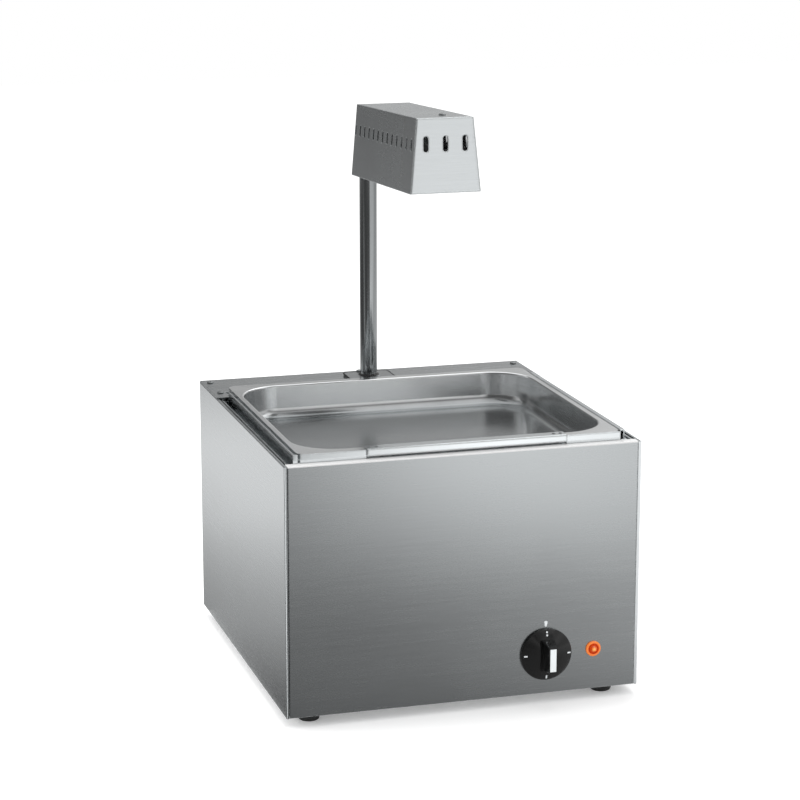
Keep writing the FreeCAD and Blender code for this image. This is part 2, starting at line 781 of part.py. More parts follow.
def pan_frame():
    """Frame round the pan: an upstand on three sides, a rim at the right, and a shelf under the pan's edge."""
    owner = new_body("pan_frame")
    half, inner = "(body_width / 2 - frame_side)", "(body_width / 2 - frame_side - frame_sheet)"
    back = "(frame_front + frame_sheet)"
    foot_level = "(body_height - channel_depth)"
    plan = new_sketch(owner, "XY", foot_level)
    outline(plan, [
        (f"-{half}", "frame_front"), (half, "frame_front"), (half, "frame_rear"), (inner, "frame_rear"),
        (inner, back), (f"-{inner}", back), (f"-{inner}", "frame_rear"), (f"-{half}", "frame_rear"),
    ])
    pad(owner, plan, "channel_depth + upstand_rise")
    shelf_rear = "(pan_front + pan_width - fit_gap)"
    shelf = new_sketch(owner, "XY", "body_height + shelf_rise - frame_sheet")
    ear, ear_line = "(body_width / 2 - ledge_inset - ear_width - fit_gap)", "(ear_front - fit_gap)"
    outline(shelf, [
        (f"-{inner}", back), (inner, back), (inner, ear_line), (ear, ear_line),
        (ear, shelf_rear), (f"-{ear}", shelf_rear), (f"-{ear}", ear_line), (f"-{inner}", ear_line),
    ])
    rectangle(shelf, f"shelf_width - {inner}", f"{inner} - shelf_width", f"{back} + shelf_width",
              f"{shelf_rear} - shelf_width")
    pad(owner, shelf, "frame_sheet")
    cuts = new_sketch(owner, "XZ", f"-{back}")
    top, low = "(body_height + upstand_rise)", "(body_height + shelf_rise)"
    far = f"({half} - notch_inset - notch_width)"
    rectangle(cuts, f"-({half} - notch_inset)", f"-{far}", low, f"{top} + 1")
    side = "(lip_length / 2 + fit_gap)"
    rectangle(cuts, f"lip_offset - {side}", f"lip_offset + {side}", "body_height - lip_cutout_drop",
              f"{top} + 1")
    pocket(owner, cuts, "2 * frame_sheet", along=True)
    rim = new_sketch(owner, "XY", f"{top} - frame_sheet")
    rectangle(rim, "pan_length / 2 + frame_rim_gap", half, "frame_front", "frame_rear")
    pad(owner, rim, "frame_sheet")
    corner = new_sketch(owner, "XZ", "-frame_front")
    rectangle(corner, far, f"{half} + 1", low, f"{top} + 1")
    pocket(owner, corner, "frame_corner_gap")
    place(owner)
    return owner


# ---------------------------------------------------------------- pan

def gastronorm_pan():
    """Drawn pan: flat flange with a turned-down edge, drafted walls and large round corners."""
    owner = new_body("pan")
    half_x, half_y = "(pan_length / 2)", "(pan_width / 2)"
    flange = new_sketch(owner, "XY")
    rounded_rectangle(flange, f"-{half_x}", half_x, f"-{half_y}", half_y, "pan_flange_round")
    pad(owner, flange, "pan_sheet", back=True)
    skirt = new_sketch(owner, "XY")
    rounded_rectangle(skirt, f"-{half_x}", half_x, f"-{half_y}", half_y, "pan_flange_round")
    rounded_rectangle(skirt, f"pan_sheet - {half_x}", f"{half_x} - pan_sheet", f"pan_sheet - {half_y}",
                      f"{half_y} - pan_sheet", "(pan_flange_round - pan_sheet)")
    pad(owner, skirt, "pan_skirt", back=True)
    mouth_x, mouth_y = "(pan_length / 2 - pan_side_flange)", "(pan_width / 2 - pan_end_flange)"
    shell = new_sketch(owner, "XY")
    rounded_rectangle(shell, f"-{mouth_x} - pan_sheet", f"{mouth_x} + pan_sheet", f"-{mouth_y} - pan_sheet",
                      f"{mouth_y} + pan_sheet", "(pan_corner + pan_sheet)")
    pad(owner, shell, "pan_depth", back=True, taper="-pan_draft")
    bowl = new_sketch(owner, "XY")
    rounded_rectangle(bowl, f"-{mouth_x}", mouth_x, f"-{mouth_y}", mouth_y, "pan_corner")
    hollow = pocket(owner, bowl, "pan_depth - pan_sheet", taper="-pan_draft")
    inside = fillet(owner, hollow, "pan_floor_round", lies_at("z", "pan_sheet - pan_depth"))
    under = fillet(owner, inside, "pan_floor_round + pan_sheet", lies_at("z", "-pan_depth"))

    def mouth_edge(edge):
        reach = edge.BoundBox
        return (lies_at("z", "0")(edge) and reach.XMax < size(half_x) - 1 and reach.XMin > 1 - size(half_x)
                and reach.YMax < size(half_y) - 1 and reach.YMin > 1 - size(half_y))
    fillet(owner, under, "pan_rim_round", mouth_edge)
    place(owner, "0", "pan_middle", "body_height + pan_rise")
    return owner


def pan_front_lip():
    """Folded lip on the pan's front flange: fingers go under its front leg to lift the pan."""
    owner = new_body("pan_front_lip")
    section = new_sketch(owner, "YZ", "-lip_length / 2")
    outline(section, [
        ("lip_overlap", "0"), ("lip_overlap", "lip_sheet"), ("-lip_reach", "lip_sheet"),
        ("-lip_reach", "lip_sheet - lip_drop"), ("lip_sheet - lip_reach", "lip_sheet - lip_drop"),
        ("lip_sheet - lip_reach", "0"),
    ])
    folded = pad(owner, section, "lip_length")

    def outer_fold(edge):
        return runs_along("x")(edge) and lies_at("y", "-lip_reach")(edge) and lies_at("z", "lip_sheet")(edge)
    fillet(owner, folded, "lip_round", outer_fold)
    place(owner, "lip_offset", "pan_front", "body_height + pan_rise")
    return owner


def lip_rivets():
    """Two rivets at each end of the lip, on its upper leg."""
    radius = size("rivet_diameter / 2")
    heads = []
    for sign in (-1, 1):
        for step in range(2):
            x = sign * (size("lip_length / 2 - rivet_inset") - step * size("rivet_pitch"))
            head = Part.makeCylinder(radius, size("rivet_rise"), FreeCAD.Vector(x, size("rivet_back"), 0))
            heads.append(head)
    made = new_feature("lip_rivets", Part.makeCompound(heads))
    place(made, "lip_offset", "pan_front", "body_height + pan_rise + lip_sheet")
    return made


# ---------------------------------------------------------------- post

def post_plate():
    """Plate at the foot of the post, screwed to the ledge."""
    owner = new_body("post_plate")
    plan = new_sketch(owner, "XY")
    half_x, half_y = "(plate_length / 2)", "(plate_width / 2)"
    rounded_rectangle(plan, f"-{half_x}", half_x, f"-{half_y} - plate_shift", f"{half_y} - plate_shift",
                      "plate_round")
    plate = pad(owner, plan, "plate_thickness")
    fillet(owner, plate, "plate_edge", lies_at("z", "plate_thickness"))
    holes = new_sketch(owner, "XY")
    circle(holes, "0", "0", "post_diameter - 2 * post_wall")
    for sign in (-1, 1):
        circle(holes, f"{sign} * post_screw_side", f"-{sign} * post_screw_reach", "screw_hole")
    cut_through(owner, holes)
    place(owner, "0", "post_y", "body_height + ledge_thickness")
    return owner


def post_backing():
    """Backing plate under the ledge that takes the post's screws."""
    owner = new_body("post_backing")
    plan = new_sketch(owner, "XY")
    half_x, half_y = "(backing_length / 2)", "(backing_width / 2)"
    rectangle(plan, f"-{half_x}", half_x, f"-{half_y} - plate_shift", f"{half_y} - plate_shift")
    pad(owner, plan, "backing_thickness", back=True)
    holes = new_sketch(owner, "XY")
    circle(holes, "0", "0", "post_diameter - 2 * post_wall")
    for sign in (-1, 1):
        circle(holes, f"{sign} * post_screw_side", f"-{sign} * post_screw_reach", "screw_hole")
    cut_through(owner, holes)
    place(owner, "0", "post_y", "body_height")
    return owner


def post_tube():
    """Round tube bent forwards at its top into the rear of the lamp head."""
    owner = new_body("post_tube")
    route = new_sketch(owner, "YZ")
    radius, rise = size("bend_radius"), size("post_rise")
    tilt = math.radians(size("head_tilt"))
    bend = Part.Circle(FreeCAD.Vector(-radius, rise, 0), FreeCAD.Vector(0, 0, 1), radius)
    turned = math.pi / 2 - tilt
    bend_end = FreeCAD.Vector(radius * math.sin(tilt) - radius, rise + radius * math.cos(tilt), 0)
    reach = size("arm_length + arm_insert")
    arm_end = bend_end + FreeCAD.Vector(-reach * math.cos(tilt), reach * math.sin(tilt), 0)
    route.addGeometry(Part.LineSegment(FreeCAD.Vector(0, 0, 0), FreeCAD.Vector(0, rise, 0)), False)
    route.addGeometry(Part.ArcOfCircle(bend, 0, turned), False)
    route.addGeometry(Part.LineSegment(bend_end, arm_end), False)
    route.addConstraint(Sketcher.Constraint("Coincident", 0, 1, -1, 1))
    route.addConstraint(Sketcher.Constraint("Vertical", 0))
    route.addConstraint(Sketcher.Constraint("Tangent", 0, 2, 1, 1))
    route.addConstraint(Sketcher.Constraint("Tangent", 1, 2, 2, 1))
    dimension(route, "Distance", "post_rise", 0)
    dimension(route, "Radius", "bend_radius", 1)
    dimension(route, "Distance", "arm_length + arm_insert", 2)
    dimension(route, "DistanceY", "(arm_length + arm_insert) * sin(head_tilt)", 2, 1, 2, 2)
    section = new_sketch(owner, "XY")
    circle(section, "0", "0", "post_diameter")
    circle(section, "0", "0", "post_diameter - 2 * post_wall")
    pipe = owner.newObject("PartDesign::AdditivePipe", "post_tube_pipe")
    pipe.Profile = section
    pipe.Spine = (route, [])
    place(owner, "0", "post_y", "post_foot")
    return owner


def post_flange():
    """Round flange on the end of the post's arm, screwed to the rear plate of the head."""
    owner = new_body("post_flange")
    face = new_sketch(owner, "XZ", "-head_length")
    circle(face, "0", "arm_height", "flange_diameter")
    circle(face, "0", "arm_height", "post_diameter + 2 * shaft_gap")
    pad(owner, face, "flange_thickness", back=True)
    holes = new_sketch(owner, "XZ", "-head_length")
    for index in range(round(size("flange_screw_count"))):
        x, z = flange_screw_place(index)
        circle(holes, x, z, "screw_hole")
    cut_through(owner, holes)
    place_in_head(owner)
    return owner


def flange_screw_place(index):
    """Place of a flange screw on its circle, in the head's frame."""
    turn = f"(90 + {index} * 360 / flange_screw_count)"
    return f"(flange_screw_circle / 2 * cos({turn}))", f"(arm_height + flange_screw_circle / 2 * sin({turn}))"


# ---------------------------------------------------------------- lamp head

def slope_inset(inset, level):
    """Half width of the head's section at a level, less an inset."""
    return f"(head_bottom / 2 - {inset} - (head_bottom - head_top) / 2 * {level} / head_height)"


def head_section(drawing, inset, low, high):
    """Outline of the head's section, moved inwards by inset, between two levels."""
    lower, upper = slope_inset(inset, low), slope_inset(inset, high)
    outline(drawing, [(f"-{lower}", low), (lower, low), (upper, high), (f"-{upper}", high)])


def head_cover():
    """Folded cover of the head with a row of slots in each side and its lower edges turned in."""
    owner = new_body("head_cover")
    outside = new_sketch(owner, "XZ", "-head_sheet")
    head_section(outside, "0", "0", "head_height")
    block = pad(owner, outside, "head_length - 2 * head_sheet", back=True)

    def top_fold(edge):
        return runs_along("y")(edge) and lies_at("z", "head_height")(edge)
    fillet(owner, block, "head_round", top_fold)
    inside = new_sketch(owner, "XZ")
    head_section(inside, "head_sheet", "head_sheet", "(head_height - head_sheet)")
    cut_through(owner, inside)
    mouth = new_sketch(owner, "XY")
    reach = "(head_bottom / 2 - head_sheet - head_return)"
    rectangle(mouth, f"-{reach}", reach,
              "0", "head_length")
    pocket(owner, mouth, "2 * head_sheet", along=True)
    slots = new_sketch(owner, "YZ")
    upright_slot(slots, "side_slot_first", "side_slot_height", "side_slot_width", "side_slot_length")
    first = cut_through(owner, slots)
    repeat(owner, first, slots, "H_Axis", "side_slot_pitch", "side_slot_count")
    holes = new_sketch(owner, "XY", "head_height - 2 * head_sheet")
    circle(holes, "head_screw_side", "head_screw_back", "screw_hole")
    pocket(owner, holes, "3 * head_sheet", along=True)
    place_in_head(owner)
    return owner


def end_plate(label, offset, back):
    """End plate of the head: a face with rounded edges and a flange that goes inside the cover."""
    owner = new_body(label)
    face = new_sketch(owner, "XZ", offset)
    head_section(face, "0", "0", "head_height")
    plate = pad(owner, face, "head_sheet", back=back)
    fillet(owner, plate, "end_round", lies_at("y", f"-({offset})"))
    flange = new_sketch(owner, "XZ", offset)
    clear = "(head_sheet + fit_gap)"
    head_section(flange, clear, clear, f"(head_height - {clear})")
    head_section(flange, f"({clear} + head_sheet)", f"({clear} + head_sheet)",
                 f"(head_height - {clear} - head_sheet)")
    pad(owner, flange, "head_sheet + end_flange", back=back)
    return owner


def head_front_plate():
    """Front plate of the head with three upright slots."""
    owner = end_plate("head_front_plate", "0", True)
    slots = new_sketch(owner, "XZ")
    upright_slot(slots, "-end_slot_pitch * (end_slot_count - 1) / 2", "end_slot_height",
                 "end_slot_width", "end_slot_length")
    first = pocket(owner, slots, "2 * head_sheet")
    repeat(owner, first, slots, "H_Axis", "end_slot_pitch", "end_slot_count")
    place_in_head(owner)
    return owner


def head_rear_plate():
    """Rear plate of the head with the hole for the post's arm."""
    owner = end_plate("head_rear_plate", "-head_length", False)
    holes = new_sketch(owner, "XZ", "-head_length")
    circle(holes, "0", "arm_height", "post_diameter + 2 * shaft_gap")
    for index in range(round(size("flange_screw_count"))):
        x, z = flange_screw_place(index)
        circle(holes, x, z, "screw_hole")
    pocket(owner, holes, "2 * head_sheet", along=True)
    place_in_head(owner)
    return owner


def reflector():
    """Folded reflector over the lamp, open downwards."""
    owner = new_body("reflector")
    section = new_sketch(owner, "XZ", "-reflector_margin")
    outer_low, outer_high = slope_inset("(head_sheet + fit_gap)", "reflector_low"), "(reflector_top / 2)"
    wall = "reflector_sheet"
    outline(section, [
        (f"-{outer_low}", "reflector_low"), (f"-{outer_high}", "reflector_high"),
        (outer_high, "reflector_high"),
        (outer_low, "reflector_low"), (f"{outer_low} - {wall}", "reflector_low"),
        (f"{outer_high} - {wall}", f"reflector_high - {wall}"),
        (f"{wall} - {outer_high}", f"reflector_high - {wall}"), (f"{wall} - {outer_low}", "reflector_low"),
    ])
    pad(owner, section, "head_length - 2 * reflector_margin", back=True)
    place_in_head(owner)
    return owner


def heat_lamp():
    """Straight quartz heating lamp."""
    made = DOC.addObject("Part::Cylinder", "heat_lamp")
    made.Label = "heat_lamp"
    made.setExpression("Radius", bound("lamp_diameter / 2"))
    made.setExpression("Height", bound("lamp_length"))
    start = "(head_y + (head_length - lamp_length) / 2 * cos(head_tilt) + lamp_height * sin(head_tilt))"
    level = "(head_z - (head_length - lamp_length) / 2 * sin(head_tilt) + lamp_height * cos(head_tilt))"
    place(made, "0", start, level)
    made.Placement.Rotation = FreeCAD.Rotation(FreeCAD.Vector(1, 0, 0), -90)
    made.setExpression("Placement.Rotation.Angle", bound("-90 - head_tilt"))
    return made


def lamp_holders():
    """Two ceramic holders that hang from the reflector and carry the ends of the lamp."""
    blocks = []
    top = size("reflector_high - reflector_sheet")
    low = size("lamp_height - holder_height / 2")
    width, length = size("holder_width"), size("holder_length")
    for end in (-1, 1):
        middle = size("head_length / 2") + end * size("lamp_length / 2 + fit_gap + holder_length / 2")
        corner = FreeCAD.Vector(-width / 2, middle - length / 2, low)
        blocks.append(Part.makeBox(width, length, top - low, corner))
    made = new_feature("lamp_holders", Part.makeCompound(blocks))
    place_in_head(made)
    return made


def lamp_guard():
    """Welded wire guard across the mouth of the head."""
    wire, half = size("guard_wire"), size("guard_half_width")
    level = size("head_sheet") + wire / 2
    start = size("head_sheet + end_flange + fit_gap")
    run = size("head_length") - 2 * start
    shape = None
    for sign in (-1, 1):
        end = FreeCAD.Vector(sign * half, start, level)
        rail = Part.makeCylinder(wire / 2, run, end, FreeCAD.Vector(0, 1, 0))
        shape = rail if shape is None else shape.fuse(rail)
    count = round(size("guard_count"))
    span = size("head_bottom / 2 - head_sheet") - 1
    for index in range(count):
        y = size("head_length / 2") + (index - (count - 1) / 2) * size("guard_pitch")
        bar = Part.makeCylinder(wire / 2, 2 * span, FreeCAD.Vector(-span, y, level), FreeCAD.Vector(1, 0, 0))
        shape = shape.fuse(bar)
    made = new_feature("lamp_guard", shape)
    place_in_head(made)
    return made


# ---------------------------------------------------------------- knob and switch

def knob():
    """Control knob: a domed skirt with a tapered grip, bored for the shaft and recessed for the pointer."""
    owner = new_body("knob")
    section = new_sketch(owner, "YZ")
    outline(section, [
        ("0", "0"), ("0", "skirt_diameter / 2"), ("-skirt_rim", "skirt_diameter / 2"),
        ("-skirt_dome", "grip_width / 2"), ("-skirt_dome", "0"),
    ])
    skirt = revolve(owner, section, "H_Axis")

    def rim(edge):
        return lies_at("y", "-skirt_rim")(edge) and abs(edge.Curve.Radius - size("skirt_diameter / 2")) < 1e-4
    fillet(owner, skirt, "skirt_round", rim)
    low = new_sketch(owner, "XZ", "skirt_rim")
    rounded_rectangle(low, "-grip_width / 2", "grip_width / 2", "-grip_length / 2", "grip_length / 2",
                      "grip_corner")
    high = new_sketch(owner, "XZ", "skirt_dome + grip_rise")
    rounded_rectangle(high, "-grip_top_width / 2", "grip_top_width / 2", "-grip_top_length / 2",
                      "grip_top_length / 2", "grip_top_corner")
    grip = owner.newObject("PartDesign::AdditiveLoft", "knob_grip")
    grip.Profile = low
    grip.Sections = [high]
    grip.Ruled = True
    bore = new_sketch(owner, "XZ")
    circle(bore, "0", "0", "shaft_diameter + 2 * shaft_gap")
    pocket(owner, bore, "shaft_insert + shaft_gap", along=True)
    recess = new_sketch(owner, "XZ", "skirt_dome + grip_rise")
    rectangle(recess, "-pointer_width / 2 - pointer_gap", "pointer_width / 2 + pointer_gap",
              "-pointer_length / 2 - pointer_gap", "pointer_length / 2 + pointer_gap")
    pocket(owner, recess, "pointer_depth")
    place(owner, "knob_side", "-knob_gap", "knob_height")
    return owner


def knob_pointer():
    """White insert in the face of the grip."""
    made = DOC.addObject("Part::Box", "knob_pointer")
    made.Label = "knob_pointer"
    made.setExpression("Length", bound("pointer_width"))
    made.setExpression("Width", bound("pointer_depth + pointer_proud"))
    made.setExpression("Height", bound("pointer_length"))
    place(made, "knob_side - pointer_width / 2", "(-knob_reach)", "knob_height - pointer_length / 2")
    return made


def selector_shaft():
    """Shaft of the switch, fixed in the knob."""
    made = DOC.addObject("Part::Cylinder", "selector_shaft")
    made.Label = "selector_shaft"
    made.setExpression("Radius", bound("shaft_diameter / 2"))
    made.setExpression("Height", bound("shaft_insert + knob_gap + shaft_behind"))
    place(made, "knob_side", "(-knob_gap - shaft_insert)", "knob_height")
    made.Placement.Rotation = FreeCAD.Rotation(FreeCAD.Vector(1, 0, 0), -90)
    return made


def selector_switch():
    """Rotary selector switch behind the front panel, with the bore that carries its shaft."""
    owner = new_body("selector_switch")
    half = "(switch_width / 2)"
    block = new_sketch(owner, "XZ")
    rounded_rectangle(block, f"-{half}", half, f"-{half}", half, "switch_corner")
    pad(owner, block, "switch_depth", back=True)
    bore = new_sketch(owner, "XZ")
    circle(bore, "0", "0", "shaft_diameter + 2 * shaft_gap")
    pocket(owner, bore, "shaft_behind")
    place(owner, "knob_side", "(sheet + fit_gap)", "knob_height")
    return owner


# ---------------------------------------------------------------- pilot lamp and gland

def pilot_lens():
    """Amber lens: a flange with a raised ring and a dome in its middle."""
    owner = new_body("pilot_lens")
    section = new_sketch(owner, "YZ")
    outline(section, [
        ("0", "0"), ("0", "pilot_flange / 2"), ("-pilot_flange_rise", "pilot_flange / 2 - pilot_ring_groove"),
        ("-pilot_flange_rise", "pilot_dome / 2 + pilot_ring_groove"),
        ("pilot_ring_groove / 2 - pilot_flange_rise", "pilot_dome / 2"),
        ("-pilot_dome_rise", "pilot_dome / 2 - pilot_ring_groove"), ("-pilot_dome_rise", "0"),
    ])
    revolve(owner, section, "H_Axis")
    place(owner, "pilot_side", "0", "pilot_height")
    return owner


def pilot_body():
    """Barrel of the pilot lamp behind the lens."""
    made = DOC.addObject("Part::Cylinder", "pilot_body")
    made.Label = "pilot_body"
    made.setExpression("Radius", bound("pilot_barrel / 2"))
    made.setExpression("Height", bound("pilot_barrel_length"))
    place(made, "pilot_side", "0", "pilot_height")
    made.Placement.Rotation = FreeCAD.Rotation(FreeCAD.Vector(1, 0, 0), -90)
    return made


def hexagon(drawing, across):
    """Hexagon about the sketch's origin, given across its flats."""
    outline(drawing, [(f"{across} / sqrt(3) * cos({60 * side})", f"{across} / sqrt(3) * sin({60 * side})")
                      for side in range(6)])


def hex_nut(label, across, bore, height, x, y, z):
    """Hexagon nut behind a panel."""
    owner = new_body(label)
    plan = new_sketch(owner, "XZ")
    hexagon(plan, across)
    circle(plan, "0", "0", bore)
    pad(owner, plan, height, back=True)
    place(owner, x, y, z)
    return owner


def cable_gland():
    """Cable gland in the back panel: threaded end, hexagon and dome, with a clear bore."""
    owner = new_body("cable_gland")
    section = new_sketch(owner, "YZ")
    outline(section, [
        ("-sheet - gland_thread_length", "gland_bore / 2"),
        ("-sheet - gland_thread_length", "gland_thread / 2"),
        ("0", "gland_thread / 2"), ("0", "gland_hex / 2"), ("gland_hex_length", "gland_hex / 2"),
        ("gland_hex_length", "gland_dome_diameter / 2"),
        ("gland_reach - gland_dome_round", "gland_dome_diameter / 2"),
        ("gland_reach", "gland_dome_diameter / 2 - gland_dome_round"), ("gland_reach", "gland_bore / 2"),
    ])
    revolve(owner, section, "H_Axis")
    flats = new_sketch(owner, "XZ", "-gland_hex_length")
    hexagon(flats, "gland_hex")
    pad(owner, flats, "gland_hex_length")
    bore = new_sketch(owner, "XZ")
    circle(bore, "0", "0", "gland_bore")
    cut_through(owner, bore)
    place(owner, "gland_side", "body_depth", "gland_height")
    return owner


# ---------------------------------------------------------------- inside the casing

def base_element():
    """Tubular heating element: parallel runs joined by half circles, with two tails out through the rear."""
    runs, pitch = round(size("element_runs")), size("element_pitch")
    run, radius = size("element_run"), size("element_diameter / 2")
    first = -pitch * (runs - 1) / 2
    tail = size("well_rear + element_tail - element_middle")
    edges = []
    for index in range(runs):
        x = first + index * pitch
        way = -1 if index % 2 == 0 else 1
        start = FreeCAD.Vector(x, tail if index == 0 else -way * run / 2, 0)
        end = FreeCAD.Vector(x, tail if index == runs - 1 else way * run / 2, 0)
        edges.append(Part.LineSegment(start, end).toShape())
        if index < runs - 1:
            top = FreeCAD.Vector(x + pitch / 2, way * (run + pitch) / 2, 0)
            edges.append(Part.Arc(end, top, end + FreeCAD.Vector(pitch, 0, 0)).toShape())
    path = Part.Wire(edges)
    ring = Part.Wire(Part.makeCircle(radius, FreeCAD.Vector(first, tail, 0), FreeCAD.Vector(0, 1, 0)))
    shape = path.makePipeShell([ring], True, False)
    made = new_feature("base_element", shape)
    place(made, "0", "element_middle", "element_level")
    return made


def element_clips():
    """Clips under the element: one strip across all the runs at each end."""
    strips = []
    length = size("element_pitch * (element_runs - 1)") + size("clip_width")
    height = size("element_lift - element_diameter / 2")
    for sign in (-1, 1):
        y = sign * size("element_run / 2 - clip_inset") - size("clip_width") / 2
        corner = FreeCAD.Vector(-length / 2, y, -height - size("element_diameter / 2"))
        strips.append(Part.makeBox(length, size("clip_width"), height, corner))
    made = new_feature("element_clips", Part.makeCompound(strips))
    place(made, "0", "element_middle", "element_level")
    return made


def insulation():
    """Insulation slab under the well."""
    made = DOC.addObject("Part::Box", "insulation")
    made.Label = "insulation"
    side = "(well_half - insulation_margin)"
    made.setExpression("Length", bound(f"2 * {side}"))
    made.setExpression("Width", bound("well_rear - well_front - 2 * insulation_margin"))
    made.setExpression("Height", bound("insulation_thickness"))
    place(made, f"-{side}", "well_front + insulation_margin", "well_floor - insulation_thickness")
    return made


def limit_thermostat():
    """Disc thermostat on the rear wall of the well."""
    made = DOC.addObject("Part::Cylinder", "limit_thermostat")
    made.Label = "limit_thermostat"
    made.setExpression("Radius", bound("limiter_diameter / 2"))
    made.setExpression("Height", bound("limiter_height"))
    place(made, "0", "well_rear", "well_floor + well_depth / 2")
    made.Placement.Rotation = FreeCAD.Rotation(FreeCAD.Vector(1, 0, 0), -90)
    return made


def terminal_block():
    """Terminal block on the base plate near the cable gland, with one hole for each pole."""
    owner = new_body("terminal_block")
    plan = new_sketch(owner, "XY")
    rectangle(plan, "-terminal_length / 2", "terminal_length / 2", "-terminal_width / 2",
              "terminal_width / 2")
    pad(owner, plan, "terminal_height")
    holes = new_sketch(owner, "XZ")
    pitch = "(terminal_length / terminal_poles)"
    circle(holes, f"{pitch} / 2 - terminal_length / 2", "terminal_height / 2", "terminal_hole")
    first = cut_through(owner, holes)
    repeat(owner, first, holes, "H_Axis", pitch, "terminal_poles")
    place(owner, "gland_side - terminal_length", "body_depth - 2 * terminal_length", "2 * sheet + fit_gap")
    return owner


# ---------------------------------------------------------------- fasteners

def screw_at(point, outward, grip):
    """Pan-head screw with a socket: its head stands on point and its shank goes inwards by grip."""
    head = Part.makeCylinder(size("screw_head / 2"), size("screw_head_height"), point, outward)
    socket_base = point + outward * (size("screw_head_height") - size("screw_drive_depth"))
    socket = Part.makeCylinder(size("screw_drive / 2"), size("screw_drive_depth"), socket_base, outward)
    shank = Part.makeCylinder(size("screw_shank / 2"), grip, point, outward * -1)
    rim = [edge for edge in head.Edges if abs(edge.BoundBox.Center.sub(point).dot(outward)) > 1e-3
           and edge.Curve.TypeId == "Part::GeomCircle"]
    rounded = head.makeFillet(size("screw_head_height") / 3, rim)
    return rounded.cut(socket).fuse(shank)


def screw_group(label, places, outward, grip="screw_length"):
    """Group of equal screws at places, each (x, y, z) in the casing's own measure."""
    screws = [screw_at(FreeCAD.Vector(size(x), size(y), size(z)), outward, size(grip)) for x, y, z in places]
    made = new_feature(label, Part.makeCompound(screws))
    place(made)
    return made


def fasteners():
    """Every group of screws."""
    up, back, down = FreeCAD.Vector(0, 0, 1), FreeCAD.Vector(0, 1, 0), FreeCAD.Vector(0, 0, -1)
    top = "(body_height + ledge_thickness)"
    ledge = screw_group("ledge_screws", [(x, y, top) for x, y in ledge_screw_places()], up, "ledge_thickness")
    post = screw_group("post_screws", [(x, y, "post_foot") for x, y in post_screw_places()], up)
    rear = screw_group("back_screws", [(x, "body_depth", z) for x, z in back_screw_places()], back)
    sole = "(foot_recess_depth - foot_height)"
    feet = screw_group("foot_screws", [(foot_side(sign), y, sole) for _, sign, y in FEET], down,
                       "screw_length + sheet")
    return [ledge, post, rear, feet]


def head_screws():
    """Screw in the top of the head and the screws of the post's flange, in the head's frame."""
    up, back = FreeCAD.Vector(0, 0, 1), FreeCAD.Vector(0, 1, 0)
    top = FreeCAD.Vector(size("head_screw_side"), size("head_screw_back"), size("head_height"))
    screws = [screw_at(top, up, size("head_sheet"))]
    for index in range(round(size("flange_screw_count"))):
        x, z = flange_screw_place(index)
        point = FreeCAD.Vector(size(x), size("head_length + flange_thickness"), size(z))
        screws.append(screw_at(point, back, size("flange_thickness + head_sheet")))
    made = new_feature("head_screws", Part.makeCompound(screws))
    place_in_head(made)
    return made


# ---------------------------------------------------------------- assembly

def make_parts():
    """Every sub-part, in the order in which the product goes together."""
    parts = [side_panel("left", -1), side_panel("right", 1), front_panel(), back_panel(), base_plate()]
    parts += [foot(*where) for where in FEET]
    parts += [channel_tray(), element_well(), well_end("well_left_end", -1), well_end("well_right_end", 1)]
    parts += [pan_frame(), rear_ledge()]
    parts += [gastronorm_pan(), pan_front_lip(), lip_rivets()]
    parts += [post_backing(), post_plate(), post_tube(), post_flange()]
    parts += [head_cover(), head_front_plate(), head_rear_plate(), reflector(), heat_lamp(), lamp_holders(),
              lamp_guard(), head_screws()]
    parts += [knob(), knob_pointer(), selector_shaft(), selector_switch()]
    parts += [pilot_lens(), pilot_body()]
    parts.append(hex_nut("pilot_nut", "pilot_nut_width", "pilot_barrel + 2 * shaft_gap", "pilot_nut_height",
                         "pilot_side", "(sheet + fit_gap)", "pilot_height"))
    parts.append(cable_gland())
    parts.append(hex_nut("gland_nut", "gland_hex", "gland_thread + 2 * shaft_gap", "gland_nut_height",
                         "gland_side", "(body_depth - sheet - fit_gap - gland_nut_height)", "gland_height"))
    parts += [base_element(), element_clips(), insulation(), limit_thermostat(), terminal_block()]
    parts += fasteners()
    return parts


def check(parts):
    """Stops if an object failed or a shape isn't sound."""
    for item in DOC.Objects:
        if "Invalid" in item.State or "Error" in item.State:
            raise RuntimeError(f"{item.Name} failed: {item.State}")
    for item in parts:
        if item.Shape.isNull() or not item.Shape.isValid() or not item.Shape.Solids:
            raise RuntimeError(f"{item.Label} has no sound shape")


PARTS = make_parts()
DOC.recompute()
check(PARTS)
os.makedirs("parts", exist_ok=True)
for part in PARTS:
    part.Shape.exportStep(os.path.join("parts", part.Label + ".step"))
    print(f"{part.Label}: {len(part.Shape.Solids)} solid, {part.Shape.Volume / 1000:.1f} cm3")
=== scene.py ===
"""Countertop heated scuttle: finishes, detailed pieces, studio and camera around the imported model.

Lengths are in metres in the row frame: X to the right, Y to the back, Z up from the feet's resting plane.
"""

import json
import logging
import math
from dataclasses import dataclass, field, replace
from enum import Enum
from functools import cache
from typing import Any, ClassVar, Iterable, Sequence

import bmesh
import bpy
import numpy as np
from mathutils import Matrix, Vector
from mathutils.geometry import convex_hull_2d

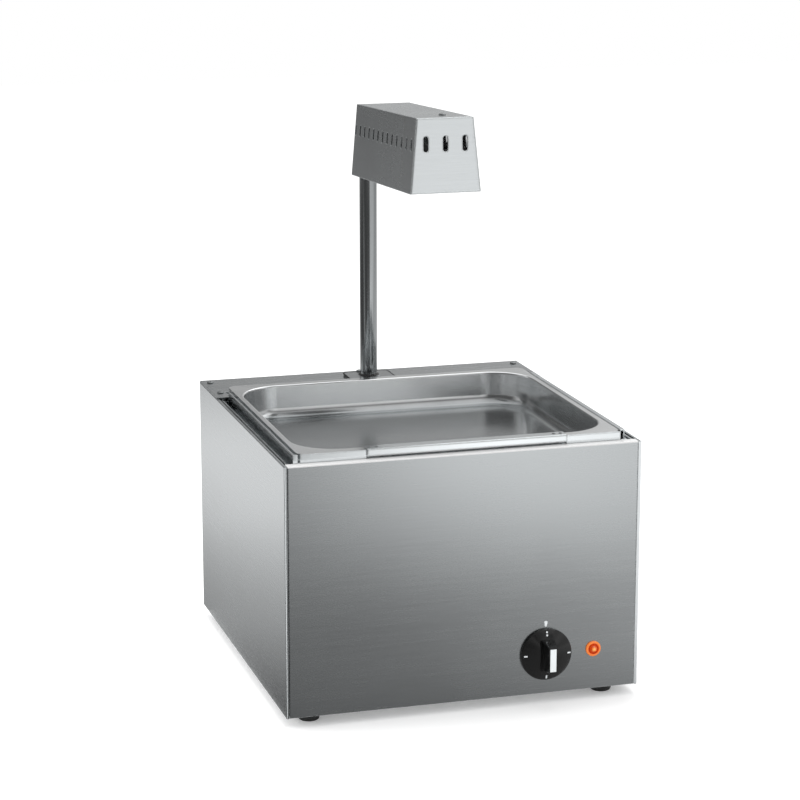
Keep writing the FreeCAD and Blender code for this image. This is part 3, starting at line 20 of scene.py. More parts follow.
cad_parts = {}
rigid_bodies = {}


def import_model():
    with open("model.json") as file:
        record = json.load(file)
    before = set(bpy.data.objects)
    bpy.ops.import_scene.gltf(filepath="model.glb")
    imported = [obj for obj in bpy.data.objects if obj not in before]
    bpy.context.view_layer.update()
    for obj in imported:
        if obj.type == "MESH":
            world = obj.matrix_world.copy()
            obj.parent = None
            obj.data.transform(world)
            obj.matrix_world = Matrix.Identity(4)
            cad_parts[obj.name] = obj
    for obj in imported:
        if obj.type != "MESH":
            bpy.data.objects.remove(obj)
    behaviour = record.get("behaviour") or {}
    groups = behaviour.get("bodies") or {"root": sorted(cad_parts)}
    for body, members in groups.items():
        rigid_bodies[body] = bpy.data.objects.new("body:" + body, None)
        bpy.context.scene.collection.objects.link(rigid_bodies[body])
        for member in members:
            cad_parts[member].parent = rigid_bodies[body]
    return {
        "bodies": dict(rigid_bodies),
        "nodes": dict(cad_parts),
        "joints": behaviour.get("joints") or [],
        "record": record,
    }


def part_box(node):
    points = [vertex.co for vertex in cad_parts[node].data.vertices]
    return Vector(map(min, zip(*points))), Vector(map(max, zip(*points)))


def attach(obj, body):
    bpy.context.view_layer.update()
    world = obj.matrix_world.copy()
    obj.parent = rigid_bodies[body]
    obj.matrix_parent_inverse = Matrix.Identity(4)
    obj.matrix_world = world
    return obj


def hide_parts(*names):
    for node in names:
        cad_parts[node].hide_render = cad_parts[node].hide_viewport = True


LOG = logging.getLogger("scuttle")
MM = 0.001
UP, DOWN = Vector((0, 0, 1)).freeze(), Vector((0, 0, -1)).freeze()
BACK, FORWARD = Vector((0, 1, 0)).freeze(), Vector((0, -1, 0)).freeze()
Colour = tuple[float, float, float, float]
Socket = bpy.types.NodeSocket
Sockets = bpy.types.bpy_prop_collection
PURE_WHITE: Colour = (1.0, 1.0, 1.0, 1.0)


def grey(level: float, warmth: float = -0.04) -> Colour:
    """Near-neutral colour of a linear level, warmer above 0 and cooler below."""
    return (level * (1 + warmth), level, level * (1 - 0.4 * warmth), 1.0)


# ---------------------------------------------------------------- node trees


class Wiring:
    """Adds and joins the nodes of one shader or geometry tree."""

    def __init__(self, tree: bpy.types.NodeTree) -> None:
        """Takes a tree and empties it."""
        self.tree = tree
        tree.nodes.clear()

    def add(self, kind: str, values: dict | None = None, **settings: Any) -> bpy.types.Node:
        """Adds one node.

        Args:
            kind: Type name of the node.
            values: Input name or number, to a constant or to the output socket that feeds it.
            settings: Properties of the node.

        Returns:
            The new node.
        """
        node = self.tree.nodes.new(kind)
        for name, value in settings.items():
            setattr(node, name, value)
        for key, value in (values or {}).items():
            if isinstance(value, Socket):
                self.tree.links.new(value, node.inputs[key])
            else:
                node.inputs[key].default_value = value
        return node

    def feed(self, kind: str, values: dict | None = None, output: int | str = 0, **settings: Any) -> Socket:
        """One output of a new node, the first unless another is asked for."""
        return self.add(kind, values, **settings).outputs[output]

    def calc(self, operation: str, *values: Any) -> Socket:
        """Result of one Math node on constants or sockets."""
        return self.feed("ShaderNodeMath", dict(enumerate(values)), operation=operation)

    def times(self, *values: Any) -> Socket:
        """Product of two constants or sockets."""
        return self.calc("MULTIPLY", *values)

    def vector(self, operation: str, *values: Any, output: int = 0) -> Socket:
        """Result of one Vector Math node on constants or sockets."""
        return self.feed("ShaderNodeVectorMath", dict(enumerate(values)), output, operation=operation)

    def joined(self, x: Any, y: Any, z: Any) -> Socket:
        """Vector of three constants or sockets."""
        return self.feed("ShaderNodeCombineXYZ", {0: x, 1: y, 2: z})

    def where(self) -> Socket:
        """Place on the object, for a pattern."""
        return self.feed("ShaderNodeTexCoord", output="Object")

    def parted(self, vector: Socket) -> Sockets:
        """The X, Y and Z of a vector."""
        return self.add("ShaderNodeSeparateXYZ", {0: vector}).outputs

    def offset(self, place: Socket, middle: Any) -> Socket:
        """Offset from a middle, in the upright plane along X."""
        return self.vector("MULTIPLY", self.vector("SUBTRACT", place, middle), (1.0, 0.0, 1.0))

    def blend(self, share: Any, low: Any, high: Any) -> Socket:
        """Colour between two others, by a share from 0 to 1."""
        return self.feed("ShaderNodeMix", {0: share, 6: low, 7: high}, 2, data_type="RGBA")

    def span(self, value: Any, low: float, high: float, out_low: float, out_high: float) -> Socket:
        """Value brought from one range to another and held inside it."""
        return self.feed("ShaderNodeMapRange", {0: value, 1: low, 2: high, 3: out_low, 4: out_high}, clamp=True)

    def share(self, value: Any, start: float, end: float) -> Socket:
        """How far a value has come from one number to another, from 0 to 1."""
        return self.span(value, start, end, 0.0, 1.0)

    def between(self, share: Any, low: float, high: float) -> Socket:
        """Number between two others, by a share from 0 to 1."""
        return self.span(share, 0.0, 1.0, low, high)

    def noise(self, vector: Socket, scale: Any, detail: float, roughness: float, distortion: float = 0.0) -> Socket:
        """Noise from 0 to 1 over a vector."""
        given = {"Vector": vector, "Scale": scale, "Detail": detail, "Roughness": roughness, "Distortion": distortion}
        return self.feed("ShaderNodeTexNoise", given)

    def group(self, tree: bpy.types.NodeTree, **values: Any) -> Sockets:
        """Outputs of a node group placed with its own values."""
        return self.add("ShaderNodeGroup", values, node_tree=tree).outputs

    def surface(self, shader: Socket, kind: str = "Material") -> None:
        """Ends the tree of a material or a world in a shader."""
        self.add("ShaderNodeOutput" + kind, {"Surface": shader})

    def principled(self, values: dict[str, Any]) -> None:
        """Ends the tree of a material in the main surface shader."""
        self.surface(self.feed("ShaderNodeBsdfPrincipled", values))


def new_material(name: str) -> tuple[bpy.types.Material, Wiring]:
    """Starts a material.

    Args:
        name: Its name.

    Returns:
        The material and the wiring of its empty tree.
    """
    made = bpy.data.materials.new(name)
    made.use_nodes = True
    return made, Wiring(made.node_tree)


class GroupTree(Wiring):
    """A node group under construction, with named inputs and outputs."""

    def __init__(self, name: str, kind: str = "ShaderNodeTree") -> None:
        """Makes an empty group of the given tree type."""
        super().__init__(bpy.data.node_groups.new(name, kind))

    def inputs(self, **sockets: Any) -> Sockets:
        """Adds the group's inputs.

        Args:
            sockets: Input name with underscores for spaces, to its usual value, or to its kind where it has none.

        Returns:
            The inputs, as they are read inside the group.
        """
        kinds = {float: "Float", int: "Int", tuple: "Vector"}
        for name, usual in sockets.items():
            kind = "NodeSocket" + kinds.get(type(usual), usual)
            made = self.tree.interface.new_socket(name=name.replace("_", " "), in_out="INPUT", socket_type=kind)
            if type(usual) in kinds:
                made.default_value = usual
        return self.add("NodeGroupInput").outputs

    def outputs(self, **feeds: Socket) -> bpy.types.NodeTree:
        """Adds the group's outputs and joins them.

        Args:
            feeds: Output name to what feeds it.

        Returns:
            The finished tree.
        """
        for name, feed in feeds.items():
            self.tree.interface.new_socket(name=name, in_out="OUTPUT", socket_type=feed.bl_idname)
        self.add("NodeGroupOutput", feeds)
        return self.tree


class Effects:
    """Shader groups that several finishes share, each built once.

    The ranges are the parts of a noise's strength that are drawn out to 0 and 1. An edge begins where the cosine
    between its rounded and its flat normal falls under EDGE_START, and is full at EDGE_FULL.
    """

    NOISE_RANGE = (0.3, 0.7)
    CLOUD_RANGE = (0.34, 0.66)
    FINE_SHARE = 0.62
    BROAD_STRETCH = 0.23
    EDGE_START = 0.995
    EDGE_FULL = 0.8

    @staticmethod
    @cache
    def rolled_grain() -> bpy.types.NodeTree:
        """Builds the fine lines of a belt-brushed sheet: a short noise with a longer one under it.

        Returns:
            The group.
        """
        wire = GroupTree("Rolled grain")
        given = wire.inputs(Vector="Vector", Stretch=(30.0, 900.0, 900.0))
        drawn = wire.vector("MULTIPLY", given["Vector"], given["Stretch"])
        slow = wire.feed("ShaderNodeVectorMath", {0: drawn, "Scale": Effects.BROAD_STRETCH}, operation="SCALE")
        fine = wire.times(wire.noise(drawn, 1.0, detail=2.0, roughness=0.6), Effects.FINE_SHARE)
        broad = wire.times(wire.noise(slow, 1.0, detail=1.0, roughness=0.5), 1.0 - Effects.FINE_SHARE)
        return wire.outputs(Lines=wire.share(wire.calc("ADD", fine, broad), *Effects.NOISE_RANGE))

    @staticmethod
    @cache
    def handling_cloud() -> bpy.types.NodeTree:
        """Builds the broad soft patches left by wiping and handling.

        Returns:
            The group.
        """
        wire = GroupTree("Handling cloud")
        given = wire.inputs(Vector="Vector", Scale=9.0)
        noise = wire.noise(given["Vector"], given["Scale"], detail=3.0, roughness=0.55, distortion=0.6)
        return wire.outputs(Cloud=wire.share(noise, *Effects.CLOUD_RANGE))

    @staticmethod
    @cache
    def fine_speckle() -> bpy.types.NodeTree:
        """Builds the small pits and grains of moulded, fired or cast surfaces.

        Returns:
            The group.
        """
        wire = GroupTree("Fine speckle")
        given = wire.inputs(Vector="Vector", Scale=1500.0)
        noise = wire.noise(given["Vector"], given["Scale"], detail=2.0, roughness=0.7)
        return wire.outputs(Speckle=wire.share(noise, *Effects.NOISE_RANGE))

    @staticmethod
    @cache
    def edge_touch() -> bpy.types.NodeTree:
        """Builds a mask of the outer edges, where a finish gets a painted highlight (painted shade where its edge
        colour is dark), and the rounded normals there.

        Returns:
            The group.
        """
        wire = GroupTree("Painted edge light mask")
        given = wire.inputs(Width=0.6 * MM, Strength=1.0)
        rounded = wire.feed("ShaderNodeBevel", {"Radius": given["Width"]}, samples=4)
        flat = wire.feed("ShaderNodeNewGeometry", output="Normal")
        likeness = wire.vector("DOT_PRODUCT", rounded, flat, output=1)
        mask = wire.times(wire.share(likeness, Effects.EDGE_START, Effects.EDGE_FULL), given["Strength"])
        return wire.outputs(Edge=mask, Normal=rounded)

    @staticmethod
    @cache
    def crowned_face() -> bpy.types.NodeTree:
        """Builds the normals of a face that falls away from its middle, in a shallow dome.

        Returns:
            The group.
        """
        wire = GroupTree("Crowned face")
        given = wire.inputs(Vector="Vector", Middle=(0.0, 0.0, 0.0), Normal="Vector", Curve=16.0)
        across = wire.offset(given["Vector"], given["Middle"])
        square = wire.vector("DOT_PRODUCT", across, across, output=1)
        height = wire.times(square, wire.times(given["Curve"], -0.5))
        dome = {"Strength": 1.0, "Distance": 1.0, "Height": height, "Normal": given["Normal"]}
        return wire.outputs(Normal=wire.feed("ShaderNodeBump", dome))


class Grain(Enum):
    """Direction of a sheet's brushing, as the stretch of its noise along X, Y and Z."""

    ACROSS = (40.0, 1300.0, 1300.0)
    BACKWARDS = (1300.0, 40.0, 1300.0)
    UPRIGHT = (1300.0, 1300.0, 40.0)
    NONE = (420.0, 420.0, 420.0)


@dataclass(frozen=True)
class Finish:
    """Opaque surface: metal, plastic, rubber, ceramic or fibre.

    Its colour and roughness run from low to high with a mix of grain, cloud and speckle. Over that it can carry painted
    light: a highlight along its edges (shade where the edge colour is dark), a highlight band above a height, and shade
    below a height.
    """

    name: str
    slot: str
    low: Colour
    high: Colour
    rough_low: float
    rough_high: float
    metallic: float = 1.0
    grain: float = 0.0
    cloud: float = 0.5
    speckle: float = 0.0
    relief: float = 0.1
    relief_depth: float = 0.05 * MM
    cloud_scale: float = 9.0
    speckle_scale: float = 1500.0
    # edge is the strength of a painted highlight along the outer edges, in the edge colour below; a dark edge colour
    # paints shade there instead. edge_width is that band's width and the radius of the rounded normals.
    edge: float = 0.0
    edge_width: float = 0.6 * MM
    painted_edge_light_colour: Colour = (0.8, 0.8, 0.8, 1.0)
    coat: float = 0.0
    # The four fields below paint a highlight: a pale, less metallic band above a height, on the front panel's top fold.
    highlight_above: float | None = None
    highlight_fade: float = 0.6 * MM
    highlight_colour: Colour = (0.7, 0.7, 0.7, 1.0)
    highlight_metallic: float = 0.1
    # The four fields below paint shade: a darker colour below a height, with a ragged edge, which darkens the pan's
    # floor.
    worn: Colour | None = None
    shade_below: float = 0.0
    shade_fade: float = 6.0 * MM
    shade_ragged: float = 0.8 * MM

    def material(self, grain: Grain = Grain.NONE, crown: Sequence[float] | None = None) -> bpy.types.Material:
        """Builds the material of this finish, once for each direction.

        Args:
            grain: Direction of the brushing.
            crown: Middle of a round face along Y that looks slightly domed, if there is one.

        Returns:
            The material.
        """
        title = f"{self.name} {grain.name.lower()}" + (" crowned" if crown else "")
        if title in bpy.data.materials:
            return bpy.data.materials[title]
        made, wire = new_material(title)
        where = wire.where()
        lines = wire.group(Effects.rolled_grain(), Vector=where, Stretch=grain.value)[0]
        cloud = wire.group(Effects.handling_cloud(), Vector=where, Scale=self.cloud_scale)[0]
        speck = wire.group(Effects.fine_speckle(), Vector=where, Scale=self.speckle_scale)[0]
        total = self.grain + self.cloud + self.speckle
        shares = ((lines, self.grain), (cloud, self.cloud), (speck, self.speckle))
        pattern, *others = [wire.times(value, share / total) for value, share in shares if share]
        for other in others:
            pattern = wire.calc("ADD", pattern, other)
        colour = wire.blend(pattern, self.low, self.high)
        metallic: Any = self.metallic
        # Mask for the painted edge highlight, and the rounded normals of the edges.
        edge_light = wire.group(Effects.edge_touch(), Width=self.edge_width, Strength=self.edge)
        normal = edge_light["Normal"]
        # Painted shade: darker below a height, with a ragged edge.
        if self.worn:
            ragged = wire.calc("ADD", wire.parted(where)[2], wire.between(cloud, -self.shade_ragged, self.shade_ragged))
            low = wire.share(ragged, self.shade_below + self.shade_fade, self.shade_below)
            colour = wire.blend(low, colour, self.worn)
        if crown:
            normal = wire.group(Effects.crowned_face(), Vector=where, Middle=crown, Normal=normal)[0]
        # Painted highlight along the outer edges; painted shade where the edge colour is dark.
        if self.edge:
            colour = wire.blend(edge_light["Edge"], colour, self.painted_edge_light_colour)
        # Painted highlight: a pale, less metallic band above a height.
        if self.highlight_above:
            rim = wire.share(wire.parted(where)[2], self.highlight_above, self.highlight_above + self.highlight_fade)
            colour = wire.blend(rim, colour, self.highlight_colour)
            metallic = wire.between(rim, self.metallic, self.highlight_metallic)
        bump = {"Strength": self.relief, "Distance": self.relief_depth, "Height": lines if self.grain else speck,
                "Normal": normal}
        wire.principled({"Base Color": colour, "Metallic": metallic, "Coat Weight": self.coat,
                         "Roughness": wire.between(pattern, self.rough_low, self.rough_high),
                         "Normal": wire.feed("ShaderNodeBump", bump)})
        return made


# Most finishes below paint a highlight along their edges with a pale edge colour; PLATE paints a dark outline, which is
# painted shade.
BRUSHED = Finish("Brushed steel", "brushed_steel", grey(0.58), grey(0.65), 0.24, 0.29, grain=0.75, cloud=0.25,
                 relief=0.03, edge=0.7, edge_width=1.2 * MM, painted_edge_light_colour=grey(0.95))
# Its pale band above 281.2 mm is a painted highlight along the front panel's top fold.
FRONT = replace(BRUSHED, name="Front steel", edge=0.4, highlight_above=281.2 * MM)
LEDGE = replace(BRUSHED, name="Ledge steel", low=grey(0.46), high=grey(0.54), edge=0.4, painted_edge_light_colour=grey(0.75))
COVER = replace(BRUSHED, name="Cover steel", low=grey(0.60), high=grey(0.65), grain=0.3, cloud=0.5, relief=0.008)
SATIN = Finish("Satin steel", "satin_steel", grey(0.53), grey(0.59), 0.20, 0.25, grain=0.4, cloud=0.6,
               relief=0.01, cloud_scale=14.0, edge=0.3, painted_edge_light_colour=grey(0.8))
POLISHED = Finish("Polished tube", "polished_steel", grey(0.46), grey(0.50), 0.12, 0.14, grain=0.4, cloud=0.6,
                  relief=0.002)
# Its dark edge colour paints a dark outline round the post plate: painted shade.
PLATE = Finish("Plate steel", "satin_steel", grey(0.40), grey(0.47), 0.22, 0.28, grain=0.6, cloud=0.4, relief=0.02,
               edge=0.4, edge_width=0.5 * MM, painted_edge_light_colour=grey(0.15))
# Its darker colour below 257 mm is painted shade on the pan's floor and the foot of its walls.
PRESSED = Finish("Pressed steel", "satin_steel", grey(0.88, -0.015), grey(0.94, -0.015), 0.17, 0.23, grain=0.3,
                 cloud=0.7, relief=0.008, cloud_scale=12.0, edge=0.3, painted_edge_light_colour=grey(0.95), worn=grey(0.44),
                 shade_below=257.0 * MM)
# Wide edge band in near-white: a painted highlight over the narrow faces of the pan frame's front bar and the lip, and
# through HEAD over the edges of the head plates.
FOLDED = replace(PRESSED, name="Folded steel", low=grey(0.80), high=grey(0.88), rough_low=0.15, rough_high=0.21,
                 edge=0.8, edge_width=2.2 * MM, painted_edge_light_colour=grey(0.97), worn=None)
HEAD = replace(FOLDED, name="Head plate steel", low=grey(0.84), high=grey(0.96), grain=0.8, cloud=0.2, relief=0.02,
               edge=1.0, painted_edge_light_colour=grey(1.0))
# Pale, barely metallic strips down the front corners: painted highlight.
CORNER_HIGHLIGHT = Finish("Corner highlight paint", "brushed_steel", grey(0.64), grey(0.72), 0.35, 0.45, metallic=0.1, cloud=0.6,
              speckle=0.4)
# Its pale edge colour paints a bright highlight ring round each dark head.
SCREW = Finish("Screw steel", "screw_steel", grey(0.22), grey(0.32), 0.16, 0.26, speckle=0.5, cloud=0.5,
               edge=0.9, edge_width=0.5 * MM, painted_edge_light_colour=grey(0.85))
WELD = Finish("Weld metal", "satin_steel", grey(0.05, 0.0), grey(0.15, 0.0), 0.28, 0.45, speckle=0.6, cloud=0.4,
              cloud_scale=160.0, speckle_scale=2200.0, relief=0.2)
ZINC = Finish("Zinc coat", "galvanised_steel", grey(0.42, -0.02), grey(0.62, -0.02), 0.35, 0.55, cloud=0.8,
              speckle=0.2, cloud_scale=60.0)
REFLECTOR = Finish("Heated aluminium", "reflector_aluminium", grey(0.30, 0.03), grey(0.42, 0.03), 0.28, 0.38,
                   grain=0.4, cloud=0.6, relief=0.03)
# Its edge colour, lighter than the base, paints a faint sheen along the edges of the black mouldings.
BLACK = Finish("Black moulding", "black_plastic", grey(0.002), grey(0.004), 0.07, 0.12, metallic=0.0, cloud=0.3,
               speckle=0.7, relief=0.06, edge=0.25, painted_edge_light_colour=grey(0.03), coat=0.5)
WHITE = Finish("White moulding", "white_plastic", grey(0.80), grey(0.88), 0.3, 0.4, metallic=0.0, cloud=0.4,
               speckle=0.6, relief=0.04)
RUBBER = Finish("Foot rubber", "foot_rubber", grey(0.008), grey(0.02), 0.5, 0.75, metallic=0.0, speckle=0.7,
                cloud=0.3, relief=0.25)
CERAMIC = Finish("Ceramic", "ceramic", grey(0.66, 0.02), grey(0.78, 0.02), 0.45, 0.6, metallic=0.0, speckle=0.6,
                 cloud=0.4, relief=0.1)
SHEATH = Finish("Element sheath", "element_alloy", grey(0.09, 0.05), grey(0.2, 0.08), 0.4, 0.6, metallic=0.9,
                cloud=0.7, speckle=0.3, cloud_scale=30.0)
FIBRE = Finish("Mineral fibre", "insulation", grey(0.50, 0.12), grey(0.74, 0.08), 0.9, 1.0, metallic=0.0,
               speckle=0.7, cloud=0.3, speckle_scale=500.0, relief=0.6, relief_depth=0.6 * MM)
TERMINAL = Finish("Terminal plastic", "terminal_plastic", grey(0.62, 0.05), grey(0.74, 0.05), 0.4, 0.5, metallic=0.0,
                  speckle=0.6, cloud=0.4)


@dataclass(frozen=True)
class AmberGlass:
    """Moulded amber lens, lit from behind: bright at the middle, with darker rings."""

    name: str = "Amber lens"
    slot: str = "amber_lens"
    deep: Colour = (0.55, 0.05, 0.003, 1.0)
    bright: Colour = (0.84, 0.24, 0.04, 1.0)
    core: Colour = (1.0, 0.52, 0.14, 1.0)
    core_radius: float = 2.4 * MM
    middle_radius: float = 1.2 * MM
    groove_in: float = 3.4 * MM
    groove_out: float = 5.6 * MM
    groove_fade: float = 1.2 * MM
    rim_light: float = 0.85
    speckle_scale: float = 900.0
    speckle_low: float = 0.8
    rough_low: float = 0.06
    rough_high: float = 0.12
    glow: float = 0.25
    coat: float = 1.0

    def material(self, centre: Vector) -> bpy.types.Material:
        """Builds the material.

        Args:
            centre: Point of the lens that its rings go round.

        Returns:
            The material.
        """
        made, wire = new_material(self.name)
        where = wire.where()
        distance = wire.vector("LENGTH", wire.offset(where, tuple(centre)), output=1)
        inner = wire.share(distance, self.groove_in, self.middle_radius)
        outer = wire.span(distance, self.groove_out, self.groove_out + self.groove_fade, 0.0, self.rim_light)
        grain = wire.group(Effects.fine_speckle(), Vector=where, Scale=self.speckle_scale)[0]
        light = wire.times(wire.calc("MAXIMUM", inner, outer), wire.between(grain, self.speckle_low, 1.0))
        colour = wire.blend(light, self.deep, self.bright)
        colour = wire.blend(wire.share(distance, self.core_radius, 0.0), colour, self.core)
        wire.principled({"Base Color": colour, "Roughness": wire.between(grain, self.rough_low, self.rough_high),
                         "Emission Color": colour, "Emission Strength": self.glow, "Coat Weight": self.coat})
        return made


@dataclass(frozen=True)
class QuartzGlass:
    """Frosted quartz tube of the heat lamp."""

    name: str = "Quartz tube"
    low: Colour = (0.86, 0.84, 0.80, 1.0)
    high: Colour = (0.96, 0.95, 0.93, 1.0)
    cloud_scale: float = 60.0
    rough_low: float = 0.15
    rough_high: float = 0.35
    transmission: float = 0.6
    ior: float = 1.46

    def material(self) -> bpy.types.Material:
        """Builds the clouded, thin-looking glass.

        Returns:
            The material.
        """
        made, wire = new_material(self.name)
        cloud = wire.group(Effects.handling_cloud(), Vector=wire.where(), Scale=self.cloud_scale)[0]
        rough = wire.between(cloud, self.rough_low, self.rough_high)
        wire.principled({"Base Color": wire.blend(cloud, self.low, self.high), "Roughness": rough,
                         "Transmission Weight": self.transmission, "IOR": self.ior})
        return made


# ---------------------------------------------------------------- meshes


class Frame:
    """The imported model: its nodes, and what is read from them. Points nearer than MERGE are one corner."""

    MERGE = 1e-5

    def __init__(self, loaded: dict) -> None:
        self.nodes: dict[str, bpy.types.Object] = loaded["nodes"]

    def dress(self, material: bpy.types.Material, *names: str) -> None:
        """Gives nodes a material, on every slot they have.

        Args:
            material: The material.
            names: The nodes.
        """
        for name in names:
            for slot in self.nodes[name].material_slots:
                slot.material = material
            LOG.info("dressed %s in %s", name, material.name)

    def solids(self, name: str) -> list[tuple[Vector, Vector]]:
        """Finds the separate solids of a node.

        Args:
            name: The node, whose mesh is loose triangles.

        Returns:
            Lowest and highest corner of each solid, from left to right.
        """
        mesh = self.nodes[name].data
        points = np.array([vertex.co[:] for vertex in mesh.vertices])
        _, spots = np.unique(np.round(points / self.MERGE).astype(int), axis=0, return_inverse=True)
        corners = spots[np.array([face.vertices[:] for face in mesh.polygons])]
        solid, before = np.arange(spots.max() + 1), None
        while before is None or (solid != before).any():
            before = solid.copy()
            np.minimum.at(solid, corners, before[corners].min(1)[:, None])
        members = [points[solid[spots] == item] for item in np.unique(solid)]
        boxes = sorted(((part.min(0), part.max(0)) for part in members), key=lambda box: [round(c, 5) for c in box[0]])
        return [(Vector(low), Vector(high)) for low, high in boxes]


def new_piece(name: str, mesh: bpy.types.Mesh, material: bpy.types.Material | None = None) -> bpy.types.Object:
    """Puts a mesh into the scene.

    Args:
        name: Name of the object.
        mesh: The mesh.
        material: Its material, where it has none yet.

    Returns:
        The object.
    """
    made = bpy.data.objects.new(name, mesh)
    bpy.context.scene.collection.objects.link(made)
    if material:
        mesh.materials.append(material)
    return made


def fit(piece: bpy.types.Object, body: str, slot: str, *nodes: str) -> None:
    """Makes a finished piece part of the product.

    Args:
        piece: The piece.
        body: Body that it rides on.
        slot: Name of its material slot; not used.
        nodes: Nodes that it stands for, which are hidden.
    """
    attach(piece, body)
    if nodes:
        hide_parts(*nodes)
    LOG.info("piece %s: %d faces on %s", piece.name, len(piece.data.polygons), body)


def mesh_of(name: str, points: Sequence, faces: Sequence, smooth: bool = True) -> bpy.types.Mesh:
    """Makes a mesh with its normals turned outwards.

    Args:
        name: Name of the mesh.
        points: Its points.
        faces: Its faces, as numbers of points.
        smooth: Whether it is shaded smooth.

    Returns:
        The mesh.
    """
    mesh = bpy.data.meshes.new(name)
    mesh.from_pydata([tuple(p) for p in points], [], [tuple(f) for f in faces])
    shape = bmesh.new()
    shape.from_mesh(mesh)
    bmesh.ops.remove_doubles(shape, verts=shape.verts, dist=1e-6)
    bmesh.ops.recalc_face_normals(shape, faces=shape.faces)
    shape.to_mesh(mesh)
    shape.free()
    mesh.shade_smooth() if smooth else mesh.shade_flat()
    return mesh


def loft(name: str, rings: Sequence[Sequence], loop: bool = False) -> bpy.types.Mesh:
    """Makes a skin over rings of equal counts of points.

    Args:
        name: Name of the mesh.
        rings: Closed rings of points, in order.
        loop: Whether the last ring joins the first one, instead of an end face on each.

    Returns:
        The mesh.
    """
    count, last = len(rings[0]), len(rings) - 1
    faces = []
    for level in range(last + loop):
        here, there = level * count, (level + 1) % len(rings) * count
        for step in range(count):
            after = (step + 1) % count
            faces.append((here + step, here + after, there + after, there + step))
    if not loop:
        faces += [tuple(reversed(range(count))), tuple(range(last * count, (last + 1) * count))]
    return mesh_of(name, [p for ring in rings for p in ring], faces)


def arc(start: float, end: float, steps: int) -> list[tuple[float, float]]:
    """Points of an arc of radius 1 between two angles in degrees, both ends included."""
    angles = [math.radians(start + (end - start) * step / steps) for step in range(steps + 1)]
    return [(math.cos(a), math.sin(a)) for a in angles]


def circle(count: int) -> list[tuple[float, float]]:
    """Evenly spaced points of a circle of radius 1."""
    return arc(0.0, 360.0 * (count - 1) / count, count - 1)


def lathe(name: str, profile: Sequence[tuple[float, float]], axis: Vector, foot: Vector, sides: int) -> bpy.types.Mesh:
    """Makes a turned shape.

    Args:
        name: Name of the mesh.
        profile: Pairs of radius and height along the axis.
        axis: The axis.
        foot: Point of the axis at no height.
        sides: Count of points round it.

    Returns:
        The mesh.
    """
    place = Matrix.Translation(foot) @ axis.to_track_quat("Z", "Y").to_matrix().to_4x4()
    return loft(name, [[place @ Vector((radius * x, radius * y, height)) for x, y in circle(sides)]
                       for radius, height in profile])


# ---------------------------------------------------------------- repeated pieces


class ShapeTree(GroupTree):
    """Geometry tree under construction, which sets one shape on each point of a point set."""

    def __init__(self, name: str, **sizes: float) -> None:
        """Makes an empty tree.

        Args:
            name: Its name.
            sizes: Its sizes, which become named inputs, with their usual values.
        """
        super().__init__(name, "GeometryNodeTree")
        self.given = self.inputs(Geometry="Geometry", **sizes, Material="Material")
        self.spot = self.feed("GeometryNodeInputPosition")

    def cylinder(self, radius: Socket, depth: Socket, vertices: int, side: int = 1, fill: int = 1) -> Socket:
        """Cylinder about Z, by its sizes and its counts of points and steps."""
        return self.feed("GeometryNodeMeshCylinder", {"Vertices": vertices, "Side Segments": side,
                                                      "Fill Segments": fill, "Radius": radius, "Depth": depth})

    def ball(self, scale: Socket, segments: int, rings: int, radius: float) -> Socket:
        """Ball stretched along X, Y and Z."""
        ball = self.feed("GeometryNodeMeshUVSphere", {"Segments": segments, "Rings": rings, "Radius": radius})
        return self.moved(ball, Scale=scale)

    def moved(self, shape: Socket, **values: Socket) -> Socket:
        """Shape moved by its Translation or stretched by its Scale."""
        return self.feed("GeometryNodeTransform", {"Geometry": shape, **values})

    def bent(self, shape: Socket, place: Socket) -> Socket:
        """Shape with each of its points put at a new place."""
        return self.feed("GeometryNodeSetPosition", {"Geometry": shape, "Position": place})

    def gathered(self, node: bpy.types.Node, key: int | str, *shapes: Socket) -> Socket:
        """Result of a node that takes several shapes at one input.

        Args:
            node: The node.
            key: Its input.
            shapes: The shapes, the first one linked first.

        Returns:
            The node's first output.
        """
        for shape in shapes:
            self.tree.links.new(shape, node.inputs[key])
        return node.outputs[0]

    def spread(self, shape: Socket, scale: Socket | None = None) -> bpy.types.NodeTree:
        """Ends the tree: its shape on every point, dressed and made one mesh.

        Args:
            shape: The shape to repeat, upright along Z.
            scale: Size of each repeat, where it varies.

        Returns:
            The finished tree. Each shape stands along its point's axis and faces the point's heading.
        """
        axis, heading = [self.feed("GeometryNodeInputNamedAttribute", {"Name": name}, data_type="FLOAT_VECTOR")
                         for name in ("axis", "heading")]
        upright = self.feed("FunctionNodeAlignRotationToVector", {"Vector": axis}, axis="Z")
        aimed = self.feed("FunctionNodeAlignRotationToVector", {"Rotation": upright, "Vector": heading},
                          axis="X", pivot_axis="Z")
        values = {"Points": self.given["Geometry"], "Instance": shape, "Rotation": aimed}
        placed = self.feed("GeometryNodeInstanceOnPoints", values | ({"Scale": scale} if scale else {}))
        rounded = self.feed("GeometryNodeSetShadeSmooth", {0: self.feed("GeometryNodeRealizeInstances", {0: placed})})
        dressed = {"Geometry": rounded, "Material": self.given["Material"]}
        return self.outputs(Geometry=self.feed("GeometryNodeSetMaterial", dressed))


